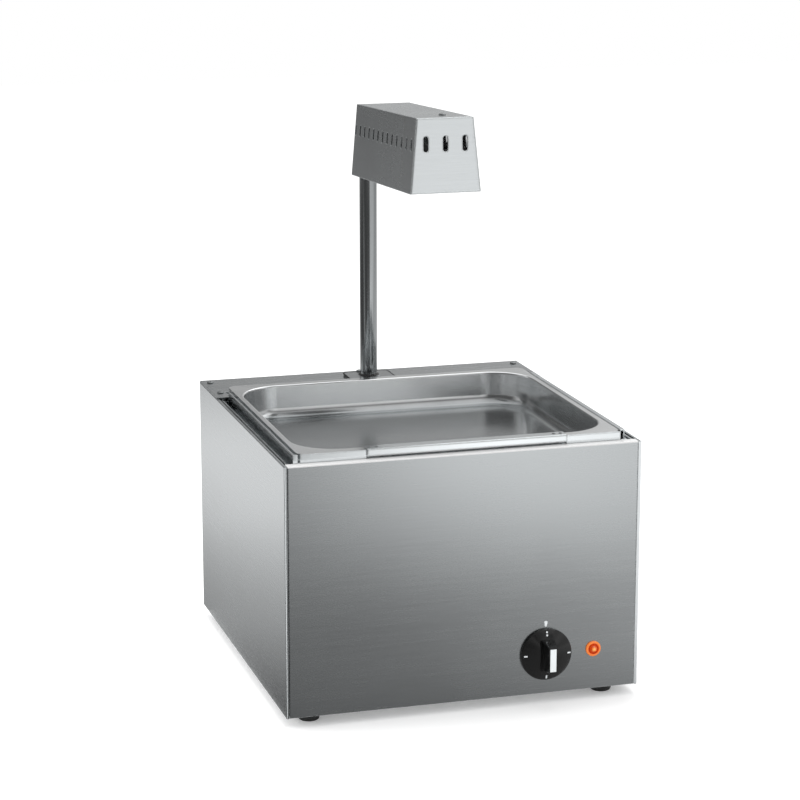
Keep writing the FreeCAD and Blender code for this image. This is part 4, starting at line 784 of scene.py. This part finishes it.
class Repeats:
    """Geometry trees for what repeats on the product, each built once."""

    @staticmethod
    @cache
    def screw_head() -> bpy.types.NodeTree:
        """Builds pan-head screws with a cross recess, one on each point, along the point's own axis.

        Returns:
            The tree.
        """
        wire = ShapeTree("Pan head screws", Head_diameter=7.6 * MM, Head_height=2.3 * MM, Shank_diameter=3.8 * MM,
                         Shank_length=3.0 * MM, Recess_length=4.2 * MM, Recess_width=1.3 * MM,
                         Recess_depth=1.9 * MM, Crown=0.42, Rounding=0.12)
        given, (x, y, z) = wire.given, wire.parted(wire.spot)
        tall, radius = given["Head height"], wire.times(given["Head diameter"], 0.5)
        reach = wire.vector("LENGTH", wire.vector("MULTIPLY", wire.spot, (1.0, 1.0, 0.0)), output=1)
        level = wire.calc("ADD", wire.calc("DIVIDE", z, tall), 0.5)
        fall = wire.calc("POWER", wire.calc("DIVIDE", reach, radius), 3.0)
        drop = wire.times(fall, wire.times(tall, given["Crown"]))
        height = wire.times(wire.calc("SUBTRACT", tall, drop), level)
        pull = wire.calc("SUBTRACT", 1.0, wire.times(wire.calc("POWER", level, 4.0), given["Rounding"]))
        domed = wire.joined(wire.times(x, pull), wire.times(y, pull), height)
        head = wire.bent(wire.cylinder(radius, tall, vertices=36, side=5, fill=7), domed)
        lift, depth = wire.joined(0.0, 0.0, tall), wire.times(given["Recess depth"], 2.0)
        arms = []
        for sides in (("Recess length", "Recess width"), ("Recess width", "Recess length")):
            size = wire.joined(given[sides[0]], given[sides[1]], depth)
            arms.append(wire.moved(wire.feed("GeometryNodeMeshCube", {"Size": size}), Translation=lift))
        cut = wire.add("GeometryNodeMeshBoolean", {"Mesh 1": head}, operation="DIFFERENCE", solver="EXACT")
        shank = wire.cylinder(wire.times(given["Shank diameter"], 0.5), given["Shank length"], vertices=20)
        sink = wire.joined(0.0, 0.0, wire.times(given["Shank length"], -0.5))
        join = wire.add("GeometryNodeJoinGeometry")
        sunk = wire.moved(shank, Translation=sink)
        return wire.spread(wire.gathered(join, 0, sunk, wire.gathered(cut, "Mesh 2", *arms)))

    @staticmethod
    @cache
    def rivet_head() -> bpy.types.NodeTree:
        """Builds low domed rivets, one on each point.

        Returns:
            The tree.
        """
        wire = ShapeTree("Domed rivets", Head_diameter=4.0 * MM, Head_height=0.8 * MM)
        half, (x, y, z) = wire.times(wire.given["Head diameter"], 0.5), wire.parted(wire.spot)
        dome = wire.ball(wire.joined(half, half, wire.given["Head height"]), segments=28, rings=12, radius=1.0)
        return wire.spread(wire.bent(dome, wire.joined(x, y, wire.calc("MAXIMUM", z, 0.0))))

    @staticmethod
    @cache
    def printed_mark() -> bpy.types.NodeTree:
        """Builds flat printed dashes, dots or pointers, one on each point, along the point's heading.

        Returns:
            The tree.
        """
        wire = ShapeTree("Printed marks", Length=4.0 * MM, Width=1.6 * MM, Rise=0.1 * MM, Taper=0.0)
        given, (x, y, z) = wire.given, wire.parted(wire.spot)
        disc = wire.cylinder(wire.times(given["Width"], 0.5), wire.times(given["Rise"], 2.0), vertices=32, fill=2)
        straight = wire.times(wire.calc("SUBTRACT", given["Length"], given["Width"]), 0.5)
        reach = wire.calc("ADD", x, wire.times(wire.calc("SIGN", x), straight))
        share = wire.calc("DIVIDE", reach, given["Length"])
        narrowed = wire.calc("SUBTRACT", 1.0, wire.times(share, given["Taper"]))
        return wire.spread(wire.bent(disc, wire.joined(reach, wire.times(y, narrowed), z)))

    @staticmethod
    @cache
    def weld_bead() -> bpy.types.NodeTree:
        """Builds the overlapping ripples of a weld round a tube's foot, one on each point of a circle.

        Returns:
            The tree.
        """
        wire = ShapeTree("Weld ripples", Bead_width=3.2 * MM, Bead_height=2.6 * MM, Bead_length=0.8,
                         Unevenness=0.14, Seed=7)
        given = wire.given
        length = wire.times(given["Bead width"], given["Bead length"])
        size = wire.joined(given["Bead width"], length, given["Bead height"])
        ripple = wire.ball(size, segments=14, rings=8, radius=0.5)
        ends = [wire.calc(operation, 1.0, given["Unevenness"]) for operation in ("SUBTRACT", "ADD")]
        values = {"Seed": given["Seed"], 2: ends[0], 3: ends[1]}
        return wire.spread(ripple, wire.feed("FunctionNodeRandomValue", values, 1, data_type="FLOAT"))


@dataclass
class PointSet:
    """Points with an axis and a heading each, on which a geometry tree sets its pieces."""

    name: str
    points: list[Vector]
    axes: list[Vector]
    headings: list[Vector] = field(default_factory=list)
    seed: int = 3

    def aims(self) -> list[Vector]:
        """Finds the headings.

        Returns:
            Those given, or seeded ones square to the axes, as screws come to rest at any angle.
        """
        if self.headings:
            return self.headings
        turns = np.random.default_rng(self.seed).uniform(0.0, math.pi, len(self.axes))
        return [Matrix.Rotation(turn, 3, axis) @ axis.orthogonal() for axis, turn in zip(self.axes, turns)]

    def grow(self, tree: bpy.types.NodeTree, values: dict[str, Any]) -> bpy.types.Mesh:
        """Runs a geometry tree on the points.

        Args:
            tree: Tree that ends in Realize Instances and Set Material.
            values: Input name to value.

        Returns:
            The plain mesh that it gives.
        """
        seed = bpy.data.meshes.new(self.name + "_points")
        seed.from_pydata([tuple(p) for p in self.points], [], [])
        for label, aims in (("axis", self.axes), ("heading", self.aims())):
            held = seed.attributes.new(label, "FLOAT_VECTOR", "POINT")
            held.data.foreach_set("vector", [c for aim in aims for c in aim.normalized()])
        holder = new_piece(self.name + "_seed", seed)
        work = holder.modifiers.new("Grow", "NODES")
        work.node_group = tree
        for item in tree.interface.items_tree:
            if getattr(item, "in_out", "") == "INPUT" and item.name in values:
                work[item.identifier] = values[item.name]
        graph = bpy.context.evaluated_depsgraph_get()
        made = bpy.data.meshes.new_from_object(holder.evaluated_get(graph), depsgraph=graph)
        made.name = self.name
        holder.modifiers.clear()
        bpy.data.objects.remove(holder)
        bpy.data.meshes.remove(seed)
        return made

    def fit(self, tree: bpy.types.NodeTree, finish: Finish, body: str, sizes: dict[str, float], *nodes: str) -> None:
        """Grows the pieces in one finish and fits them.

        Args:
            tree: Geometry tree of the pieces.
            finish: Their finish.
            body: Body that they ride on.
            sizes: Input name of the tree to size.
            nodes: Nodes that they stand for.
        """
        mesh = self.grow(tree, {**sizes, "Material": finish.material()})
        fit(new_piece(self.name, mesh), body, finish.slot, *nodes)


# ---------------------------------------------------------------- sub-assemblies


@dataclass
class SubAssembly:
    """Sub-assembly of the product: the nodes that it dresses as they are, and the pieces that it adds."""

    frame: Frame
    dressing: ClassVar[tuple[tuple[Finish, Grain, str], ...]] = ()

    def dress(self) -> None:
        """Gives each node in the dressing its finish."""
        for finish, grain, names in self.dressing:
            self.frame.dress(finish.material(grain), *names.split())

    def build(self) -> None:
        """Adds the detailed pieces, where there are any."""


@dataclass
class Casing(SubAssembly):
    """Sheet-metal box: side panels, front, back, base, the pale strips that paint highlights down its front corners,
    and the index mark.
    """

    dressing = ((FRONT, Grain.ACROSS, "front_panel"), (BRUSHED, Grain.ACROSS, "back_panel"),
                (BRUSHED, Grain.BACKWARDS, "left_side_panel right_side_panel"), (ZINC, Grain.NONE, "base_plate"))
    mark_width: float = 3.4 * MM
    mark_height: float = 6.6 * MM
    mark_rise: float = 33.2 * MM
    mark_taper: float = 0.7
    # The pale strips below paint the highlights of the two front corners.
    right_highlight: float = 1.75 * MM
    left_highlight: float = 0.5 * MM
    highlight_sunk: float = 0.25 * MM
    highlight_rise: float = 0.6 * MM
    highlight_stop: float = 0.6 * MM
    highlight_sides: int = 24

    def build(self) -> None:
        """Lays the painted corner highlights and prints the index mark."""
        self.corner_highlights()
        self.index_mark()

    def corner_highlights(self) -> None:
        """Lays pale, barely metallic strips down the two front corners: painted highlights on the corner edges."""
        low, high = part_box("front_panel")
        right = (high.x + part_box("right_side_panel")[1].x) / 2
        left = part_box("left_side_panel")[0].x + 2 * self.left_highlight
        for name, middle, half in (("corner_highlight_right", right, self.right_highlight),
                                   ("corner_highlight_left", left, self.left_highlight)):
            rings = [[(middle + x * half, low.y + self.highlight_sunk + y * self.highlight_rise, z)
                      for x, y in circle(self.highlight_sides)] for z in (low.z + self.highlight_stop, high.z - self.highlight_stop)]
            fit(new_piece(name, loft(name, rings), CORNER_HIGHLIGHT.material()), "housing", CORNER_HIGHLIGHT.slot)

    def index_mark(self) -> None:
        """Prints a small white pointer on the front panel, over the knob."""
        low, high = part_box("knob")
        spot = (low + high) / 2 + UP * self.mark_rise
        spot.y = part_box("front_panel")[0].y
        sizes = {"Length": self.mark_height, "Width": self.mark_width, "Taper": self.mark_taper}
        PointSet("index_mark", [spot], [FORWARD], [DOWN]).fit(Repeats.printed_mark(), WHITE, "housing", sizes)


@dataclass
class Well(SubAssembly):
    """Channel tray, the well under the pan, and the heating parts in it."""

    dressing = ((BRUSHED, Grain.BACKWARDS, "channel_tray"), (FOLDED, Grain.NONE, "pan_frame"),
                (SATIN, Grain.BACKWARDS, "element_well well_left_end well_right_end"),
                (SHEATH, Grain.NONE, "base_element"), (ZINC, Grain.NONE, "element_clips limit_thermostat"),
                (FIBRE, Grain.NONE, "insulation"), (TERMINAL, Grain.NONE, "terminal_block"))


@dataclass
class Pan(SubAssembly):
    """Lift-out pan with its front lip and rivets."""

    dressing = ((PRESSED, Grain.ACROSS, "pan"), (FOLDED, Grain.ACROSS, "pan_front_lip"))

    def build(self) -> None:
        """Sets the rivets of the lip."""
        boxes = self.frame.solids("lip_rivets")
        seats = [Vector(((low.x + high.x) / 2, (low.y + high.y) / 2, low.z)) for low, high in boxes]
        size = boxes[0][1] - boxes[0][0]
        points = PointSet("lip_rivets_domed", seats, [UP] * len(seats))
        points.fit(Repeats.rivet_head(), SCREW, "pan", {"Head diameter": size.x, "Head height": size.z}, "lip_rivets")


@dataclass
class Post(SubAssembly):
    """Ledge, post plate, tube and flange."""

    dressing = ((LEDGE, Grain.ACROSS, "rear_ledge"), (PLATE, Grain.ACROSS, "post_plate"),
                (SATIN, Grain.ACROSS, "post_flange"), (ZINC, Grain.NONE, "post_backing"),
                (POLISHED, Grain.UPRIGHT, "post_tube"))
    weld_count: int = 26
    weld_width: float = 3.4 * MM
    weld_height: float = 3.0 * MM
    weld_stand: float = 0.12
    weld_lean: float = 0.5
    # The dark rubber bead below paints a shadow line round the post plate: painted shade.
    shadow_line_radius: float = 0.9 * MM
    shadow_line_sunk: float = 0.5 * MM
    shadow_line_sides: int = 8

    def build(self) -> None:
        """Lays the dark line round the plate, which paints its shadow, and the weld."""
        self.shadow_line()
        self.weld()

    def shadow_line(self) -> None:
        """Lays a dark rubber bead round the base plate, against the ledge: painted shade, a shadow line along the
        plate's edge.
        """
        corners = [vertex.co for vertex in self.frame.nodes["post_plate"].data.vertices]
        level = max(corner.z for corner in corners) - self.shadow_line_sunk
        spots = [corner.xy for corner in corners]
        outline = [spots[k] for k in convex_hull_2d(spots)]
        middle = sum(outline, Vector((0.0, 0.0))) / len(outline)
        sections = []
        for spot in outline:
            away = (spot - middle).normalized() * self.shadow_line_radius
            sections.append([(*(spot + away * side), level + self.shadow_line_radius * rise)
                             for side, rise in circle(self.shadow_line_sides)])
        fit(new_piece("plate_shadow_line", loft("plate_shadow_line", sections, loop=True), RUBBER.material()), "housing", RUBBER.slot)

    def weld(self) -> None:
        """Lays the weld round the foot of the tube."""
        low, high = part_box("post_tube")
        radius = (high.x - low.x) / 2
        middle = Vector(((low.x + high.x) / 2, high.y - radius, low.z))
        rounds = [Vector((x, y, 0.0)) for x, y in circle(self.weld_count)]
        spots = [middle + out * (radius + self.weld_width * self.weld_stand) for out in rounds]
        points = PointSet("post_weld", spots, [out * self.weld_lean + UP for out in rounds], rounds)
        sizes = {"Bead width": self.weld_width, "Bead height": self.weld_height}
        points.fit(Repeats.weld_bead(), WELD, "housing", sizes)


@dataclass
class LampHead(SubAssembly):
    """Folded lamp head with its reflector, lamp and guard."""

    dressing = ((COVER, Grain.BACKWARDS, "head_cover"), (HEAD, Grain.ACROSS, "head_front_plate head_rear_plate"),
                (REFLECTOR, Grain.BACKWARDS, "reflector"), (CERAMIC, Grain.NONE, "lamp_holders"),
                (POLISHED, Grain.NONE, "lamp_guard"))

    def build(self) -> None:
        """Dresses the quartz lamp."""
        self.frame.dress(QuartzGlass().material(), "heat_lamp")


@dataclass
class Knob(SubAssembly):
    """Selector knob, its pointer, dial marks, shaft and switch.

    A dial mark's place is its angle in degrees, from the right and upwards, and its distance from the middle.
    """

    dressing = ((BLACK, Grain.NONE, "selector_switch"), (WHITE, Grain.NONE, "knob_pointer"),
                (SCREW, Grain.NONE, "selector_shaft"))
    gap: float = 0.8 * MM
    rim_depth: float = 2.4 * MM
    dome_depth: float = 6.0 * MM
    dome_radius: float = 8.5 * MM
    dash_length: float = 4.2 * MM
    dash_width: float = 1.7 * MM
    dash_places: tuple[tuple[float, float], ...] = ((0.0, 25.2 * MM), (180.0, 23.6 * MM), (270.0, 24.8 * MM))
    dot_length: float = 2.4 * MM
    dot_width: float = 2.2 * MM
    dot_places: tuple[tuple[float, float], ...] = ((90.0, 25.0 * MM), (90.0, 21.8 * MM))

    def build(self) -> None:
        """Dresses the knob with its crowned face and prints the dial marks."""
        low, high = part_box("knob")
        self.frame.dress(BLACK.material(Grain.NONE, tuple((low + high) / 2)), "knob")
        self.marks("dial_dashes", self.dash_places, self.dash_length, self.dash_width)
        self.marks("dial_dots", self.dot_places, self.dot_length, self.dot_width)

    def marks(self, name: str, places: Sequence[tuple[float, float]], length: float, width: float) -> None:
        """Prints marks on the knob's sloping skirt.

        Args:
            name: Name of the piece.
            places: Place of each mark.
            length: Length of a mark, away from the middle.
            width: Width of a mark.
        """
        low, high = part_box("knob")
        radius = (high.x - low.x) / 2
        middle = (low + high) / 2
        middle.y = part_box("front_panel")[0].y
        slope = (self.dome_depth - self.rim_depth) / (radius - self.dome_radius)
        spots, axes, headings = [], [], []
        for angle, distance in places:
            out = Vector((math.cos(math.radians(angle)), 0.0, math.sin(math.radians(angle))))
            depth = self.gap + self.rim_depth + slope * (radius - distance)
            spots.append(middle + out * distance + FORWARD * depth)
            axes.append(out * slope + FORWARD)
            headings.append(out + BACK * slope)
        sizes = {"Length": length, "Width": width}
        PointSet(name, spots, axes, headings).fit(Repeats.printed_mark(), WHITE, "knob", sizes)


@dataclass
class PilotLamp(SubAssembly):
    """Amber pilot lamp."""

    dressing = ((BLACK, Grain.NONE, "pilot_body pilot_nut"),)
    rim_height: float = 2.3 * MM
    rim_steps: int = 12
    foot_round: float = 0.2 * MM
    groove_height: float = 0.9 * MM
    groove_radius: float = 5.2 * MM
    groove_wall: float = 0.1 * MM
    groove_floor: float = 0.54 * MM
    dome_radius: float = 4.6 * MM
    dome_steps: int = 10
    step_in: float = 0.02 * MM
    step_up: float = 0.12 * MM
    tip: float = 0.01 * MM
    sides: int = 72

    def build(self) -> None:
        """Turns the ringed lens: a rounded rim, a groove and a stepped dome."""
        low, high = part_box("pilot_lens")
        foot = (low + high) / 2
        foot.y = high.y
        profile = self.profile((high.x - low.x) / 2, high.y - low.y)
        mesh = lathe("pilot_lens_ringed", profile, FORWARD, foot, self.sides)
        fit(new_piece("pilot_lens_ringed", mesh, AmberGlass().material(foot)), "housing", AmberGlass.slot, "pilot_lens")

    def profile(self, radius: float, rise: float) -> list[tuple[float, float]]:
        """Draws the lens from its foot to its top.

        Args:
            radius: Outer radius of the rim.
            rise: Height of the dome over the panel.

        Returns:
            Pairs of radius and height.
        """
        ring, rim = (radius - self.groove_radius) / 2, self.rim_height - self.groove_height
        points = [(self.tip, 0.0), (radius - self.foot_round, 0.0), (radius, self.foot_round)]
        points += [(radius - ring + ring * x, self.groove_height + rim * y) for x, y in arc(0.0, 180.0, self.rim_steps)]
        points += [(self.groove_radius - self.groove_wall, self.groove_floor), (self.dome_radius, self.groove_floor)]
        for x, y in arc(0.0, 90.0, self.dome_steps)[:-1]:
            reach, height = self.dome_radius * x, self.groove_height + (rise - self.groove_height) * y
            points += [(reach, height), (reach - self.step_in, height + self.step_up)]
        return points + [(self.tip, rise)]


@dataclass
class Base(SubAssembly):
    """Feet and the cable entry."""

    dressing = ((RUBBER, Grain.NONE, "foot_front_left foot_front_right foot_rear_left foot_rear_right"),
                (BLACK, Grain.NONE, "cable_gland gland_nut"))


@dataclass
class Fasteners(SubAssembly):
    """Every pan-head screw of the product."""

    head_diameter: float = 7.6 * MM
    head_height: float = 2.3 * MM
    head_tilt: float = math.radians(2.72)
    cover_level: float = 0.61
    first_seed: int = 3
    head_seed: int = 11

    def build(self) -> None:
        """Sets the screws of each group on their seats. Those of the lamp head lean with it."""
        groups = {"ledge_screws": UP, "post_screws": UP, "back_screws": BACK, "foot_screws": DOWN}
        for seed, (node, axis) in enumerate(groups.items(), start=self.first_seed):
            self.group(node, [axis] * len(self.frame.solids(node)), seed)
        side, along = math.sin(self.head_tilt), math.cos(self.head_tilt)
        tilted_up, tilted_back = Vector((0, side, along)), Vector((0, along, -side))
        axes = [tilted_up if high.z > self.cover_level else tilted_back for _, high in self.frame.solids("head_screws")]
        self.group("head_screws", axes, self.head_seed)

    def group(self, node: str, axes: list[Vector], seed: int) -> None:
        """Replaces one node of screws.

        Args:
            node: Node that holds the plain screws.
            axes: Outward axis of each of its solids.
            seed: Seed of the angles at which the screws came to rest.
        """
        seats = []
        for (low, high), axis in zip(self.frame.solids(node), axes):
            along, *sides = sorted(range(3), key=lambda k: -abs(axis[k]))
            lean = sum(abs(axis[k]) for k in sides) * self.head_diameter / 2
            end = (low + high) / 2 + axis * (((high[along] - low[along]) / 2 - lean) / abs(axis[along]))
            seats.append(end - axis * self.head_height)
        sizes = {"Head diameter": self.head_diameter, "Head height": self.head_height}
        points = PointSet(node + "_crossed", seats, axes, seed=seed)
        points.fit(Repeats.screw_head(), SCREW, "housing", sizes, node)


# ---------------------------------------------------------------- studio


class Lie(Enum):
    """How a card lies, as the axes of its width and its height."""

    FLAT = (0, 1)
    FACING = (0, 2)
    SIDEWAYS = (1, 2)


@dataclass(frozen=True)
class Card:
    """Toned card that only metal and gloss see, as a studio sets cards round bright steel.

    It stands at one place on the axis that it lies square to. Its levels are given at the crossings of its columns,
    places along its width, and its rows, places along its height, and run evenly between them.
    """

    name: str
    lie: Lie
    at: float
    columns: tuple[float, ...]
    rows: tuple[float, ...]
    levels: tuple[tuple[float, ...], ...]
    splits: int = 6

    def places(self, marks: tuple[float, ...]) -> list[float]:
        """Places of the marks with even steps between them."""
        spans = zip(marks, marks[1:])
        return [low + (high - low) * k / self.splits for low, high in spans for k in range(self.splits)] + [marks[-1]]

    def build(self) -> None:
        """Builds the card with its levels on its points."""
        across, up = self.lie.value
        wide, tall = self.places(self.columns), self.places(self.rows)
        points, shades = [], []
        for level in tall:
            row = [np.interp(level, self.rows, column) for column in zip(*self.levels)]
            for step in wide:
                point = [self.at] * 3
                point[across], point[up] = step, level
                points.append(tuple(point))
                shades.append(float(np.interp(step, self.columns, row)))
        count = len(wide)
        faces = [(r * count + c, r * count + c + 1, (r + 1) * count + c + 1, (r + 1) * count + c)
                 for r in range(len(tall) - 1) for c in range(count - 1)]
        mesh = bpy.data.meshes.new(self.name)
        mesh.from_pydata(points, [], faces)
        mesh.attributes.new("level", "FLOAT", "POINT").data.foreach_set("value", shades)
        piece = new_piece(self.name, mesh, self.material())
        for sight in ("camera", "diffuse", "transmission", "shadow", "volume_scatter"):
            setattr(piece, "visible_" + sight, False)

    @staticmethod
    @cache
    def material() -> bpy.types.Material:
        """Builds the glow of the level on a card's points, once for all cards.

        Returns:
            The material.
        """
        made, wire = new_material("Card")
        made.cycles.emission_sampling = "NONE"
        level = wire.feed("ShaderNodeAttribute", output="Fac", attribute_name="level")
        wire.surface(wire.feed("ShaderNodeEmission", {"Color": PURE_WHITE, "Strength": level}))
        return made


CARDS: tuple[Card, ...] = (
    Card("Card front", Lie.FLAT, 0.003,
         (-3.2, -1.2, -0.5, 0.0, 0.35, 0.8, 3.2), (-3.6, -2.2, -1.35, -0.9, -0.6, -0.35, -0.2),
         ((0.1, 0.1, 0.08, 0.08, 0.36, 0.62, 0.58), (0.1, 0.08, 0.08, 0.08, 0.54, 0.72, 0.62),
          (0.08, 0.08, 0.28, 0.3, 1.6, 0.95, 0.67), (0.08, 0.08, 0.08, 0.38, 0.98, 0.66, 0.57),
          (0.25, 0.22, 0.08, 0.2, 0.42, 0.5, 0.44), (0.25, 0.42, 0.08, 0.22, 0.47, 0.6, 0.38),
          (0.25, 0.5, 0.08, 0.18, 0.38, 0.6, 0.38))),
    Card("Card left", Lie.FLAT, 0.003, (-3.2, -1.2, -0.6, -0.38, -0.2), (-0.2, 0.15, 0.6, 1.0, 1.6, 3.0),
         ((0.08, 0.08, 0.32, 0.24, 0.08), (0.08, 0.08, 0.54, 0.49, 0.38), (0.08, 0.08, 1.07, 0.96, 0.43),
          (0.08, 0.08, 1.13, 1.0, 0.51), (0.08, 0.08, 0.51, 0.63, 0.53), (0.21, 0.26, 0.37, 0.49, 0.5))),
    Card("Card right", Lie.FLAT, 0.003, (0.2, 0.8, 3.2), (-0.2, 0.8, 3.0),
         ((0.5, 1.0, 0.45), (0.39, 0.6, 0.45), (0.41, 0.45, 0.45))),
    Card("Card rear", Lie.FLAT, 0.003, (-0.2, 0.2), (0.21, 1.0, 3.0),
         ((0.42, 0.42), (0.42, 0.42), (0.43, 0.42))),
    Card("Card behind", Lie.FACING, 3.0, (-3.2, -0.6, 0.6, 3.2), (0.003, 0.5, 0.9, 1.4, 3.0),
         ((0.39, 0.24, 0.19, 0.36), (0.27, 0.11, 0.74, 0.55), (0.22, 0.15, 0.26, 0.66),
          (0.23, 0.1, 0.45, 0.97), (0.21, 0.31, 1.32, 1.37))),
    Card("Card above", Lie.FLAT, 3.0, (-3.2, 0.0, 3.2), (-3.6, -0.5, 3.0),
         ((0.1, 0.1, 0.45), (0.1, 0.7, 1.58), (0.1, 1.61, 2.32))),
    Card("Card left wall", Lie.SIDEWAYS, -3.2, (-3.6, -0.5, 3.0), (0.003, 0.8, 3.0),
         ((0.08, 0.08, 0.16), (0.08, 0.08, 1.51), (0.08, 0.08, 0.54))),
    Card("Card right wall", Lie.SIDEWAYS, 3.2, (-3.6, -0.5, 3.0), (0.003, 0.8, 3.0), ((0.42,) * 3,) * 3),
    Card("Card front wall", Lie.FACING, -3.6, (-3.2, 0.0, 1.0, 3.2), (0.003, 0.8, 3.0),
         ((0.19, 0.31, 0.87, 0.5), (0.08, 0.08, 0.82, 0.08), (0.08, 0.08, 0.08, 0.08))),
)


@dataclass(frozen=True)
class SoftLamp:
    """Soft rectangular lamp, by its place, the point that it faces, its width and height, and its power in watts."""

    name: str
    at: tuple[float, float, float]
    aim: tuple[float, float, float]
    size: tuple[float, float]
    watts: float

    def build(self) -> None:
        """Hangs the lamp."""
        data = bpy.data.lights.new(self.name, "AREA")
        data.shape, (data.size, data.size_y), data.energy = "RECTANGLE", self.size, self.watts
        made = bpy.data.objects.new(self.name, data)
        made.location = self.at
        made.rotation_euler = (Vector(self.aim) - Vector(self.at)).to_track_quat("-Z", "Y").to_euler()
        made.visible_glossy = False
        bpy.context.scene.collection.objects.link(made)


LAMPS = (SoftLamp("Key", (0.1, 0.4, 2.5), (0.0, 0.0, 0.0), (1.3, 1.3), 28.0),
         SoftLamp("Left", (-2.0, 0.2, 1.2), (0.0, 0.0, 0.1), (0.8, 1.0), 14.0))


@dataclass(frozen=True)
class Studio:
    """Camera, white surroundings and floor, with the soft lamps and the toned cards."""

    camera_at: tuple[float, float, float] = (-0.7947, -2.6416, 0.9448)
    azimuth: float = 16.489
    elevation: float = 13.2507
    lens: float = 114.96
    sensor: float = 36.0
    fill: float = 1.1
    floor_reach: float = 6.0
    floor_colour: Colour = (0.9, 0.9, 0.9, 1.0)
    floor_glow: float = 0.21

    def build(self) -> None:
        """Sets up the whole studio."""
        self.world()
        self.floor()
        for thing in CARDS + LAMPS:
            thing.build()
        self.camera()
        bpy.context.scene.view_settings.view_transform = "Standard"

    def camera(self) -> None:
        """Sets up the camera at the viewing angle, with no shift and no depth of field."""
        data = bpy.data.cameras.new("Camera")
        data.lens, data.sensor_width = self.lens, self.sensor
        data.dof.use_dof = False
        made = bpy.data.objects.new("Camera", data)
        made.location = self.camera_at
        made.rotation_euler = (math.radians(90 - self.elevation), 0.0, math.radians(-self.azimuth))
        bpy.context.scene.collection.objects.link(made)
        bpy.context.scene.camera = made

    @staticmethod
    def seen(wire: Wiring) -> Socket:
        """Tells sight from soft light.

        Args:
            wire: Wiring of a tree.

        Returns:
            1 for rays from the camera, from metal and through glass, and 0 for the others.
        """
        rays = wire.add("ShaderNodeLightPath").outputs
        shown = wire.calc("MAXIMUM", rays["Is Camera Ray"], rays["Is Glossy Ray"])
        return wire.calc("MAXIMUM", shown, rays["Is Transmission Ray"])

    def world(self) -> None:
        """Makes white surroundings, with a slightly stronger fill for soft light."""
        world = bpy.data.worlds.new("Surroundings")
        world.use_nodes = True
        bpy.context.scene.world = world
        wire = Wiring(world.node_tree)
        level = wire.between(self.seen(wire), self.fill, 1.0)
        wire.surface(wire.feed("ShaderNodeBackground", {"Color": PURE_WHITE, "Strength": level}), "World")

    def floor(self) -> None:
        """Makes a pale floor that keeps the object's shadow."""
        made, wire = new_material("Floor")
        matte = wire.feed("ShaderNodeBsdfDiffuse", {"Color": self.floor_colour})
        level = wire.times(self.seen(wire), self.floor_glow)
        glow = wire.feed("ShaderNodeEmission", {"Color": PURE_WHITE, "Strength": level})
        wire.surface(wire.feed("ShaderNodeAddShader", {0: matte, 1: glow}))
        reach = self.floor_reach
        corners = [(-reach, -reach, 0), (reach, -reach, 0), (reach, reach, 0), (-reach, reach, 0)]
        new_piece("Floor", mesh_of("Floor", corners, [(0, 1, 2, 3)], smooth=False), made)


# ---------------------------------------------------------------- scene


def main() -> None:
    logging.basicConfig(level=logging.INFO, format="%(name)s: %(message)s")
    frame = Frame(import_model())
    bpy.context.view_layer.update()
    for kind in (Casing, Well, Pan, Post, LampHead, Knob, PilotLamp, Base, Fasteners):
        part = kind(frame)
        part.dress()
        part.build()
    Studio().build()


if __name__ == "__main__":
    main()
